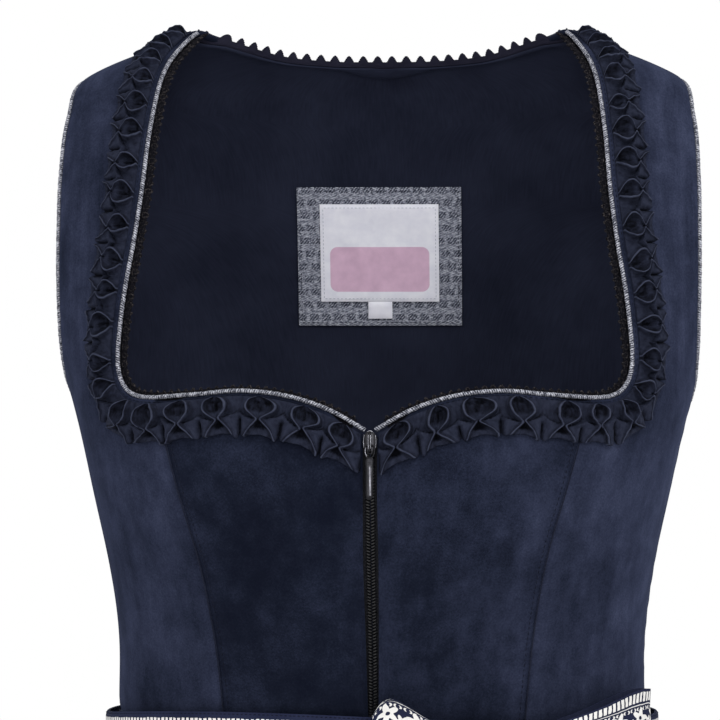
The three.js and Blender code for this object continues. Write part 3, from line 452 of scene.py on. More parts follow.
# Finishes.
class Value:
    """A node's output in a finish. Arithmetic on it adds nodes."""

    def __init__(self, finish, socket):
        self.finish = finish
        self.socket = socket

    def __add__(self, other):
        return self.finish.math("ADD", self, other)

    def __sub__(self, other):
        return self.finish.math("SUBTRACT", self, other)

    def __rsub__(self, other):
        return self.finish.math("SUBTRACT", other, self)

    def __mul__(self, other):
        return self.finish.math("MULTIPLY", self, other)

    def __truediv__(self, other):
        return self.finish.math("DIVIDE", self, other)

    def __abs__(self):
        return self.finish.math("ABSOLUTE", self)


class Finish:
    """A material: its shader's own numbers, and the textures that lead into it."""

    def __init__(self, name, **numbers):
        self.material = bpy.data.materials.new(name)
        self.material.use_nodes = True
        self.nodes = self.material.node_tree.nodes
        self.shader = self.nodes["Principled BSDF"]
        for key, value in numbers.items():
            self.feed(self.shader.inputs[key.replace("_", " ")], value)
        self.place = self.value("TexCoord", {}, "Object")

    @property
    def cloth(self):
        """The piece's own cloth coordinates."""
        return self.value("UVMap", {}, uv_map="cloth")

    def feed(self, socket, value):
        if isinstance(value, Value):
            self.material.node_tree.links.new(value.socket, socket)
        else:
            socket.default_value = value

    def node(self, kind, inputs, **settings):
        node = self.nodes.new("ShaderNode" + kind)
        for key, value in settings.items():
            setattr(node, key, value)
        for key, value in inputs.items():
            self.feed(node.inputs[key], value)
        return node

    def value(self, kind, inputs, output=0, **settings):
        return Value(self, self.node(kind, inputs, **settings).outputs[output])

    def math(self, operation, *values, clamp=False):
        return self.value("Math", dict(enumerate(values)), operation=operation, use_clamp=clamp)

    def split(self, vector):
        """The first two numbers of a vector."""
        node = self.node("SeparateXYZ", {"Vector": vector})
        return Value(self, node.outputs[0]), Value(self, node.outputs[1])

    def noise(self, scale, detail=4, rough=0.55, vector=None):
        inputs = {"Vector": vector or self.place, "Scale": scale, "Detail": detail, "Roughness": rough}
        return self.value("TexNoise", inputs)

    def stretched_noise(self, scale, detail, rough, stretch, vector=None):
        """Noise with its own scale along each of a vector's directions."""
        vector = self.value("Mapping", {"Vector": vector or self.cloth, "Scale": stretch})
        return self.noise(scale, detail, rough, vector)

    def wave(self, value, pitch):
        """A sine between 0 and 1 with the given pitch in millimetres, of a coordinate in metres."""
        return self.math("SINE", value * (2 * np.pi / (pitch * MM))) * 0.5 + 0.5

    def weave(self, across, along, pitch):
        """Plain weave: the threads of one way show where those of the other dip."""
        return abs(self.wave(across, pitch) - self.wave(along, pitch))

    def far(self, x, y):
        """The root of x^2 + y^2."""
        return self.math("SQRT", x * x + y * y)

    def ramp(self, value, *stops):
        """A colour from a value, through stops of place and colour."""
        node = self.node("ValToRGB", {"Fac": value})
        band = node.color_ramp.elements
        for k, (place, colour) in enumerate((stops[0], stops[-1], *stops[1:-1])):
            element = band[k] if k < 2 else band.new(place)
            element.position = place
            element.color = (*(colour if isinstance(colour, tuple) else (colour,) * 3), 1)
        return Value(self, node.outputs["Color"])

    def blend(self, share, a, b):
        return self.value("Mix", {"Factor": share, 6: a, 7: b}, 2, data_type="RGBA")

    def done(self, colour=None, rough=None, height=None, strength=0.3, distance=0.2):
        """Leads colour, roughness and a bump of the given depth in millimetres into the shader."""
        if height is not None:
            height = self.value("Bump", {"Height": height, "Strength": strength, "Distance": distance * MM})
        for key, value in (("Base Color", colour), ("Roughness", rough), ("Normal", height)):
            if value is not None:
                self.feed(self.shader.inputs[key], value)
        return self.material


def suede_finish():
    """Velvety nap. The whole metres of a panel's u say how light it is and how strong its streaks are,
    partly for the way its nap is brushed and partly as painted sheen; clouds, mottling and a fine grain
    are added to that."""
    f = Finish("suede", Sheen_Weight=0.05, Sheen_Roughness=0.5, Sheen_Tint=(0.35, 0.45, 0.9, 1),
               Specular_IOR_Level=0.02)
    nap_and_sheen_lot = f.math("FLOOR", f.split(f.cloth)[0])
    streaks = f.stretched_noise(1, 4, 0.62, (62, 15, 1))
    clouds = f.noise(17, 3, 0.55, f.cloth)
    brushed = f.noise(80, 5, 0.65)
    grain = f.noise(1100, 3, 0.75)
    nap_and_sheen = brushed * 0.40 + clouds * 0.58 + grain * 0.46 - 0.40
    nap_and_sheen = nap_and_sheen + (streaks - 0.5) * (nap_and_sheen_lot * 0.06 + 0.17) + nap_and_sheen_lot * 0.045
    colour = f.ramp(nap_and_sheen, (0.20, (0.0050, 0.0064, 0.0135)), (0.32, (0.0078, 0.0100, 0.0195)),
                    (0.41, (0.0125, 0.0158, 0.0305)), (0.50, (0.0180, 0.0222, 0.0425)),
                    (0.59, (0.0245, 0.0298, 0.0560)), (0.80, (0.045, 0.053, 0.094)))
    return f.done(colour, 0.95, grain * 0.5 + brushed, 0.25, 0.35)


def woven_finish(name, dark, light, pitch=0.45, strength=0.35, shows=0.13):
    """Plain woven cloth: crossing threads, slubs and a little unevenness in its dye."""
    f = Finish(name, Roughness=0.85, Specular_IOR_Level=0.05)
    threads = f.weave(*f.split(f.cloth), pitch)
    slubs = f.stretched_noise(900, 2, 0.55, (1, 0.12, 1))
    tone = threads * shows + slubs * 0.42 + f.noise(30) * 0.6
    return f.done(f.ramp(tone, (0.3, dark), (0.85, light)), None, threads + slubs, strength, 0.12)


def ruche_finish():
    """Woven cotton, pleated, with painted light: a painted highlight on its rolled rims and painted shade
    down in the folds. The layer fold holds this painted light in u, from 0 in the slits to 1 on the rims."""
    f = Finish("ruche_cloth", Roughness=0.88, Specular_IOR_Level=0.04)
    threads = f.weave(*f.split(f.cloth), 0.5)
    slubs = f.stretched_noise(700, 3, 0.65, (1, 0.3, 1))
    # painted light and shade from the fold layer: highlight on the rims, shade in the folds
    painted_light = f.split(f.value("UVMap", {}, uv_map="fold"))[0]
    wrinkles = f.noise(330, 3, 0.6)
    tone = painted_light + (slubs - 0.5) * 0.8 + (wrinkles - 0.5) * 0.75 + (threads - 0.4) * 0.12
    colour = f.ramp(tone, (0.0, (0.0032, 0.0036, 0.0062)), (0.18, (0.0086, 0.0100, 0.0180)),
                    (0.47, (0.0175, 0.0207, 0.0370)), (0.75, (0.0250, 0.0292, 0.0500)),
                    (1.0, (0.0430, 0.0495, 0.0780)))
    return f.done(colour, None, wrinkles * 2.0 + threads * 0.3 + slubs, 0.7, 0.35)


def glitter_finish():
    """Silver lame cord: slanted threads wound round it with dark gaps between them, and bright flakes."""
    f = Finish("glitter_piping", Metallic=0.2, Specular_IOR_Level=0.3)
    u, v = f.split(f.cloth)
    wound = f.wave(v * 0.35 + f.noise(500, 2) * 0.0012 + u, 1.15)
    uneven = f.stretched_noise(1, 3, 0.7, (640, 240, 1))
    flakes = f.value("TexVoronoi", {"Vector": f.place, "Scale": 1500}, "Color")
    bright = f.split(flakes)[0] * 0.36 + uneven * 0.85 + wound * 0.36 - 0.18
    colour = f.ramp(bright, (0.36, (0.012, 0.014, 0.024)), (0.48, (0.065, 0.07, 0.095)),
                    (0.62, (0.165, 0.17, 0.205)), (0.86, (0.52, 0.53, 0.59)))
    return f.done(colour, f.ramp(bright, (0.3, 0.8), (0.9, 0.35)), bright, 0.6, 0.25)


def lace_finish(name, proud, fleck):
    """Matt brown-black cotton thread, lighter where it is proud, with a fleck of light thread here and
    there."""
    f = Finish(name, Roughness=0.85, Specular_IOR_Level=0.05)
    knots = f.noise(1400, 3, 0.6)
    colour = f.ramp(knots, (0.40, (0.003, 0.003, 0.0045)), (0.55, proud), (0.72, fleck))
    return f.done(colour, None, knots, 0.7, 0.25)


def tweed_finish():
    """Grey tweed: rows of dark slanted stitches in groups, staggered, over crossing light and dark
    threads."""
    row, group = 0.0066, 0.0064
    f = Finish("tweed", Roughness=0.9, Specular_IOR_Level=0.15)
    u, v = f.split(f.cloth)
    rows = v / row
    groups = f.math("FRACT", f.math("FLOOR", rows) * 0.45 + u / group)
    dashed = f.math("LESS_THAN", f.math("FRACT", rows), 0.5) * f.math("LESS_THAN", groups, 0.72)
    ribs = f.wave(u - v * 0.8, 1.55)
    threads = f.wave(v + u * 0.35, 0.9)
    slubs = f.stretched_noise(1, 3, 0.75, (520, 900, 1))
    tone = slubs + threads * 0.15 + 0.12 - dashed * ribs * 0.22
    colour = f.ramp(tone, (0.44, (0.024, 0.028, 0.043)), (0.64, (0.145, 0.156, 0.205)),
                    (0.88, (0.56, 0.58, 0.66)))
    return f.done(colour, None, tone, 0.9, 0.35)


def label_finish(name, panel):
    """White satin, bare; the large label has a plain pink panel with round corners."""
    half_wide, half_tall, below, corner = 0.0259, 0.0117, 0.0083, 0.004
    edge_soft = 1 / 6000
    f = Finish(name, Roughness=0.42, Specular_IOR_Level=0.35)
    u, v = f.split(f.cloth)
    past_x = f.math("MAXIMUM", abs(u) - (half_wide - corner), 0)
    past_y = f.math("MAXIMUM", abs(v + below) - (half_tall - corner), 0)
    inside = f.math("DIVIDE", corner - f.far(past_x, past_y), edge_soft, clamp=True)
    uneven = f.noise(160, 3)
    white = f.ramp(uneven, (0.3, (0.80, 0.80, 0.90)), (0.8, (0.93, 0.93, 1.0)))
    pink = f.ramp(uneven, (0.3, (0.64, 0.42, 0.57)), (0.8, (0.78, 0.53, 0.69)))
    return f.done(f.blend(inside, white, pink) if panel else white, None, f.wave(v, 0.3), 0.25, 0.08)


def tape_finish():
    """Herringbone zip tape, near black."""
    f = Finish("zip_tape", Roughness=0.75, Specular_IOR_Level=0.25)
    u, v = f.split(f.cloth)
    ribs = f.wave(v + f.math("PINGPONG", u, 0.0012), 0.7)
    tone = f.noise(900, 2) * 0.4 + ribs * 0.5
    colour = f.ramp(tone, (0.2, (0.004, 0.004, 0.006)), (0.8, (0.016, 0.017, 0.023)))
    return f.done(colour, None, ribs, 0.5, 0.2)


def nylon_finish():
    """Black moulded nylon with a soft gloss."""
    f = Finish("nylon", Specular_IOR_Level=0.5)
    scuffs = f.noise(500, 3)
    return f.done(f.ramp(scuffs, (0.3, (0.0015, 0.0015, 0.0022)), (0.8, (0.006, 0.006, 0.008))),
                  f.ramp(scuffs, (0.3, 0.34), (0.8, 0.52)), scuffs, 0.15, 0.08)


def metal_finish(name, dark, mid, lightest):
    """Gunmetal plating, lighter in patches of brushed noise; made light all through, it serves as a painted
    highlight.
    """
    f = Finish(name, Metallic=1.0)
    brushed = f.stretched_noise(1, 4, 0.6, (900, 900, 120), f.place)
    tone = brushed * 0.4 + f.noise(260, 4, 0.7) * 0.6
    colour = f.ramp(tone, (0.35, (dark, dark, dark * 1.15)), (0.6, (mid, mid, mid * 1.12)),
                    (0.8, (lightest, lightest, lightest * 1.06)))
    return f.done(colour, f.ramp(tone, (0.3, 0.36), (0.8, 0.2)), brushed, 0.12, 0.06)


def print_finish():
    """Navy cotton printed in ivory: along each edge of a 44 mm band a row of short bars, and between them
    rosettes of five petals, leaves and dots, staggered. A rosette is where the distance from its middle is
    less than a radius that swells and shrinks with the cosine of five times the angle."""
    half_band, repeat, hole_radius = 0.022, 0.0132, 0.0009
    f = Finish("apron_print", Roughness=0.85, Specular_IOR_Level=0.05)
    plain_u, plain_v = f.split(f.cloth)
    wobble = (f.noise(240, 2) - 0.5) * 0.0011
    u = plain_u + wobble
    across = f.math("PINGPONG", plain_v - wobble, half_band)

    def above(value, soft):
        """From 0 up to 1 over a soft step."""
        return f.math("DIVIDE", value, soft, clamp=True)

    def stripe(low, high):
        return above(across - low, 0.00018) * above(high - across, 0.00018)

    def rosette(pitch, shift, middle, radius, petals, swell):
        x = f.math("FRACT", (u + shift) / pitch) * pitch - pitch / 2
        y = across - middle
        from_middle = f.far(x, y)
        wavy = f.math("COSINE", f.math("ARCTAN2", y, x) * petals) * swell + radius
        return above(wavy - from_middle, 0.0002) * above(from_middle - hole_radius, 0.0002)

    bars = f.math("GREATER_THAN", f.wave(u, 2.5), f.noise(300, 1) * 0.5 + 0.02)
    ivory = stripe(0.0028, 0.0078) * bars
    for part in (stripe(0.0088, 0.0094), rosette(repeat, 0, 0.0155, 0.0040, 5, 0.0014),
                 rosette(repeat, repeat / 2, 0.0184, 0.0028, 6, 0.0008),
                 rosette(repeat / 3, 0, 0.0111, 0.0014, 2, 0.0006),
                 rosette(repeat / 2, repeat / 4, 0.0210, 0.0012, 1, 0.0001)):
        ivory = f.math("MAXIMUM", ivory, part)
    dye = f.noise(60, 4)
    navy = f.ramp(dye, (0.3, (0.012, 0.015, 0.037)), (0.8, (0.022, 0.027, 0.060)))
    white = f.ramp(dye, (0.3, (0.70, 0.69, 0.66)), (0.8, (0.88, 0.87, 0.85)))
    return f.done(f.blend(ivory, navy, white), None, f.weave(plain_u, plain_v, 0.42), 0.3, 0.12)


SUEDE = suede_finish()
LINING = woven_finish("lining", (0.0088, 0.0105, 0.0210), (0.0220, 0.0262, 0.048), 0.5, 0.06, 0.03)
RUCHE_CLOTH = ruche_finish()
COTTON = woven_finish("skirt_cotton", (0.011, 0.014, 0.032), (0.026, 0.031, 0.060), 0.5, 0.35)
REVERSE = woven_finish("print_reverse", (0.045, 0.050, 0.070), (0.13, 0.135, 0.16), 0.42, 0.3)
BACK_LACE = woven_finish("back_lace", (0.0075, 0.0075, 0.0150), (0.026, 0.026, 0.045), 0.35, 0.5)
GLITTER = glitter_finish()
LACE = lace_finish("lace_thread", (0.018, 0.0165, 0.019), (0.085, 0.075, 0.072))
BRAID = lace_finish("lace_braid", (0.0055, 0.0055, 0.0085), (0.026, 0.024, 0.027))
TWEED = tweed_finish()
SATIN = label_finish("label_satin", True)
TAB_SATIN = label_finish("tab_satin", False)
TAPE = tape_finish()
NYLON = nylon_finish()
METAL = metal_finish("gunmetal", 0.012, 0.028, 0.09)
# painted highlight: light gunmetal for wires that stand for highlights on the slider and pull
HIGHLIGHT_METAL = metal_finish("painted_highlight_gunmetal", 0.12, 0.40, 0.75)
PRINT = print_finish()
# dark thread for the stitches, and painted shade for the seam cords
THREAD_AND_SEAM_SHADE = woven_finish("dark_thread_and_seam_shade", (0.003, 0.004, 0.009), (0.020, 0.023, 0.040), 0.3)
PALE_THREAD = woven_finish("pale_thread", (0.30, 0.33, 0.42), (0.62, 0.64, 0.72), 0.3)


def settle(piece, nodes, body="garment"):
    """Says what a piece moves with, and hides the nodes that it stands for."""
    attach(piece, body)
    if nodes:
        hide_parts(*nodes)
    return piece


panels = {}


def put(piece, name):
    """A piece that stands for the node of its own name, kept in panels."""
    panels[name] = settle(piece, [name])


# Bodice. Each of the part's rows and columns is cut into FINE smaller ones.
FINE = 6
LOWER_ROWS = 7 * FINE
CENTRE_COLUMNS = 6 * FINE
CORNER_ROWS = 4 * FINE
ARMHOLE_ROWS = 13 * FINE
BACK_JOIN = 8 * FINE
STRAP_COLUMNS = 6 * FINE
NECK_BACK_COLUMNS = 5 * FINE
BACK_SIDE_COLUMNS = 4 * FINE
TUCK = 1.1  # the cloth's edge, under the piping
SEAM = -0.15  # the panels meet a little over each other, so that no light comes through a seam
neck_front = edge(NECK_FRONT, CENTRE_COLUMNS)
neck_corner = edge(NECK_CORNER, CORNER_ROWS)
neck_side = edge(NECK_SIDE, ARMHOLE_ROWS - CORNER_ROWS)
neck_back = edge(NECK_BACK, NECK_BACK_COLUMNS, back=True)
arm_front = edge(ARMHOLE, ARMHOLE_ROWS, cloth_on_left=True)
arm_back = edge(ARMHOLE, ARMHOLE_ROWS, back=True)
front_top = inset(neck_front, TUCK)
front_arm = inset(arm_front, TUCK)
back_arm = inset(arm_back, TUCK)
SIDE_ANGLE = np.pi / 2


def lower_heights(top):
    return np.linspace(-WAIST_DROP, top, LOWER_ROWS + 1)


heights = lower_heights(front_top[-1, 1])
princess_front = spots_at(through(PRINCESS_FRONT, 1, heights), heights)
heights = lower_heights(UNDERARM - TUCK)
side_seam = stacked(SIDE_ANGLE, heights)
heights = lower_heights(UNDERARM)
back_top = np.vstack([on_body(spots_at(PRINCESS_BACK[3:, 1], PRINCESS_BACK[3:, 0], True)),
                      on_body(back_arm[BACK_JOIN])])
back_top = rope(back_top)
back_top = read(back_top, run_of(back_top), np.linspace(0, run_of(back_top)[-1], BACK_JOIN + 1)[1:])
back_lower = spots_at(through(PRINCESS_BACK, 1, heights), heights, True)
princess_back = np.vstack([back_lower, spot_near(back_top, True)])
seam_outwards = unit(np.array([TIP_X - NECK_HALF, 0, TIP_Z]))
SEAM_STARTS = 2.5
seam_start = spot_near(neck_side.points[-1] + seam_outwards * SEAM_STARTS)
shoulder_seam = stacked(SIDE_ANGLE, np.linspace(seam_start[1], front_arm[-1, 1], STRAP_COLUMNS + 1))


def spread(first, last, columns):
    """Spots evenly between two edges, row by row."""
    share = np.linspace(0, 1, columns + 1)[None, :, None]
    return lerp(first[:, None], last[:, None], share)


def front_centre():
    """From the zip's edge to the princess seam. The top rows bend to the neckline by the square of how near
    they are to it."""
    seam = seam_side(princess_front, SEAM)
    z = np.linspace(-WAIST_DROP, front_top[0, 1], LOWER_ROWS + 1)
    zip_edge = spots_at(through(ZIP_HALF_GAP, 1, z), z)
    plain = spread(zip_edge, seam, CENTRE_COLUMNS)
    row = np.arange(LOWER_ROWS + 1)
    near = np.maximum(0, 1 - (LOWER_ROWS - row) / (3 * FINE)) ** 2
    column = np.arange(CENTRE_COLUMNS + 1) / FINE
    inside = np.minimum(1, np.minimum(column, column[-1] - column))
    return lerp(plain, front_top[None], (near[:, None] * inside)[..., None])


def front_side():
    """From the princess seam and the neckline out to the side seam and the armhole, up to the shoulder."""
    inner = np.vstack([seam_side(princess_front, -SEAM), inset(chain(neck_corner, neck_side), TUCK)[1:]])
    outer = np.vstack([beside(side_seam, -SEAM), front_arm[1:]])
    rows = spread(inner, outer, STRAP_COLUMNS)
    last = np.clip((np.arange(len(rows)) - (len(rows) - 1 - FINE)) / FINE, 0, 1)[:, None, None]
    return lerp(rows, beside(shoulder_seam, -SEAM)[None], last)


def back_side():
    """From the side seam and the armhole in to the back princess seam, ending in a point at the armhole."""
    inner = seam_side(princess_back, SEAM, True)
    share = np.arange(1, BACK_JOIN + 1) * (BACK_JOIN - 0.15 * FINE) / BACK_JOIN
    arm = read(back_arm, np.arange(len(back_arm)), share)
    return spread(np.vstack([beside(side_seam, SEAM), arm]), inner, BACK_SIDE_COLUMNS)


def back_centre():
    """From princess seam to princess seam with both straps. The top rows bend to the back neckline."""
    strap = beside(shoulder_seam[::-1], SEAM)
    outer = np.vstack([seam_side(princess_back, -SEAM, True), back_arm[BACK_JOIN + 1:-1], strap])
    join = len(princess_back) - 1
    tip = join + ARMHOLE_ROWS - BACK_JOIN
    top = len(outer) - 1
    row = np.arange(top + 1)
    height = np.interp(row, [*range(join + 1), tip, top], [*princess_back[:, 1], -48, NECK_BACK[-1, 1]])
    plain = spread(outer, stacked(np.pi, height), NECK_BACK_COLUMNS)
    near = np.maximum(0, 1 - (top - row) / (4 * FINE)) ** 2
    inside = np.minimum(1, np.arange(NECK_BACK_COLUMNS + 1) / FINE)
    half = lerp(plain, neck_back.spots[None], (near[:, None] * inside)[..., None])
    half[:, -1, 0] = np.pi
    other = half[:, -2::-1] * (-1, 1) + (2 * np.pi, 0)
    return np.hstack([half, other])


def edge_distance(grid):
    """The distance of each point of a grid to its nearest border, straight across."""
    borders = (grid[:1], grid[-1:], grid[:, :1], grid[:, -1:])
    return np.minimum.reduce([np.linalg.norm(grid - line, axis=-1) for line in borders])


BRUSHED_AND_SHEEN = 4  # how light most panels are, and then those that differ: nap direction and painted sheen
NAP_AND_SHEEN = {"front_centre_right": 0, "front_centre_left": 2, "front_side_left": 5}


def panel(name, spots, side=1, ridge=lambda flat: 0):
    """A bodice panel: its outer face on the body's surface, rounded down into its seams by a Gaussian of
    the distance to them, with slow swells and a pucker along each seam; its inner face a wall's thickness
    in."""
    flat = on_body(spots)
    near = edge_distance(flat)
    x, y, z = (flat[..., k] for k in range(3))
    swell = 0.32 * np.sin(z / 17 + x / 23) * np.sin(x / 29 - y / 31) * (1 - bell_curve(near, 6))
    pucker = 0.14 * np.sin(z / 1.9 + 1.3 * np.sin(x / 7)) * bell_curve(near - 3, 2.2)
    height = swell + pucker - 0.95 * bell_curve(near, 1.1) + ridge(flat)
    outer, inner = sided(side, lifted(spots, height), lifted(spots, -BODICE_WALL))
    # the panel's tone lot: nap direction and painted sheen
    uv = laid_out(outer) + (NAP_AND_SHEEN.get(name, BRUSHED_AND_SHEEN) / MM, 0)
    put(wall(name, outer, inner, [SUEDE, LINING], uv), name)


def placket(flat):
    """The fold beside the zip stands up softly 4 mm out, with a pressed line beyond it, and dips at its
    stitching, 19.5 mm out."""
    x = np.abs(flat[..., 0])
    ridge = 0.75 * bell_curve(x - 4.3, 1.5) - 0.5 * bell_curve(x - 8.4, 1.4) + 0.35 * bell_curve(x - 12, 2.4)
    return ridge - 0.45 * bell_curve(x - 19.5, 1.2)


panel("back_centre", back_centre())
for side, hand in SIDES:
    panel(f"front_centre_{hand}", front_centre(), side, placket)
    panel(f"front_side_{hand}", front_side(), side)
    panel(f"back_side_{hand}", back_side(), side)

# Piping: a wound cord along the neckline and round each armhole, sewn in at the cloth's mid thickness.
draw = np.random.default_rng(11)
PIPING_SIDES = 10
PIPING_SEEN = PIPING_RADIUS - 0.12
PIPING_STEP = 0.6
SHORT_OF_SEAM = 1.3
neck_edge = chain(neck_front, neck_corner, neck_side)


def wound_cord(name, points, out, into, side, ring):
    """A cord whose radius swells and narrows unevenly along it and, where its threads cross, round it."""
    run = run_of(points)
    at = np.linspace(0, run[-1], int(run[-1] / PIPING_STEP) + 1)[: -1 if ring else None]
    rough = draw.uniform(-1, 1, (len(at), PIPING_SIDES))
    turn = 2 * np.pi * np.arange(PIPING_SIDES) / PIPING_SIDES
    threads = np.sin(2 * turn + at[:, None] / 0.55)
    radius = PIPING_SEEN * (1 + 0.06 * threads + 0.08 * rough)
    out = unit(read(out, run, at))
    centres = read(points, run, at) - out * (BODICE_WALL / 2 - 0.25)
    shape = tube(*sided(side, centres, unit(read(into, run, at)), out), radius, PIPING_SIDES, ring)
    put(cord_piece(name, [shape], GLITTER), name)


KEYS = ("points", "out", "into")
whole = run_of(neck_edge.points)
neck_cord = [getattr(neck_edge, key)[whole < whole[-1] - SHORT_OF_SEAM] for key in KEYS]
arm_cord = [np.vstack([getattr(arm_front, key), getattr(arm_back, key)[-2::-1]]) for key in KEYS]
arm_cord[2][[0, -1]] = (0, 0, -1)
arm_cord[2][ARMHOLE_ROWS] = -seam_outwards
for side, hand in SIDES:
    wound_cord(f"neck_piping_{hand}", *neck_cord, side, False)
    wound_cord(f"armhole_piping_{hand}", *arm_cord, side, True)


# Ruche: box pleats pinched together, so that each opens as a round mouth on the neckline's side and as a
# small pointed one on the other.
RUCHE_ROWS = 34
RUCHE_STEPS = (6, 4, 6)  # inside the mouth, over its rim and outside it
RIM_HALF = 0.034  # half the width of a rim, as a share of a pleat
RUCHE_RISE = RUCHE.rim + 0.8
MOUTH = np.array([
    (0, 0.07), (0.06, 0.17), (0.17, 0.275), (0.31, 0.31), (0.44, 0.265), (0.55, 0.14), (0.64, 0.036),
    (0.72, 0.10), (0.86, 0.25), (1, 0.38),
])
RIM_HEIGHT = np.array([(0, 0.3), (0.09, 0.72), (0.3, 1), (0.5, 1), (0.64, 0.8), (0.82, 0.66), (1, 0.42)])


def ruche_track():
    """The ruche's line: the neckline, with the way across the strip turned upright at the centre front and
    along the seam at the shoulder. Distances run along the strip's middle."""
    fine = edge(np.vstack([NECK_FRONT, NECK_CORNER[1:], NECK_SIDE[1:]]), 300)
    run = run_of(fine.points)
    from_centre = smoothstep(run, 0, RUCHE.fan)[:, None]
    from_shoulder = smoothstep(run[-1] - run, 0, RUCHE.fan)[:, None]
    into = lerp(lerp(fine.into, np.array([0, 0, -1.0]), 1 - from_centre), seam_outwards, 1 - from_shoulder)
    keep = (run > RUCHE.starts) & (run < run[-1] - RUCHE.starts)
    points = fine.points[keep]
    into = unit(into[keep])
    middle = on_body(spot_near(points + into * (RUCHE.inner + RUCHE.width / 2)))
    return points, into, run_of(middle)


def ruche_place(track, reach, across, height):
    """The point at a distance along the strip, a share across it and a height above the bodice."""
    points, into, run = track
    start = read(points, run, reach)
    way = unit(read(into, run, reach))
    width = RUCHE.width * lerp(1, 0.86, smoothstep(reach, 130, 200))
    spots = spot_near(start + way * (RUCHE.inner + width * across)[..., None])
    return lifted(spots, RUCHE.lift + height)


def at_pleat(track, number):
    """The distance along the strip at a number of pleats: they are wider under the bust than on the strap,
    and crowd together at the shoulder."""
    k = np.arange(RUCHE.units)
    pitch = lerp(1.25, 1, smoothstep(k, 4, 9)) * lerp(1, 0.72, smoothstep(k, 15, 20))
    ends = np.concatenate([[0], np.cumsum(pitch)])
    return np.interp(number, np.arange(RUCHE.units + 1), ends * track[2][-1] / ends[-1])


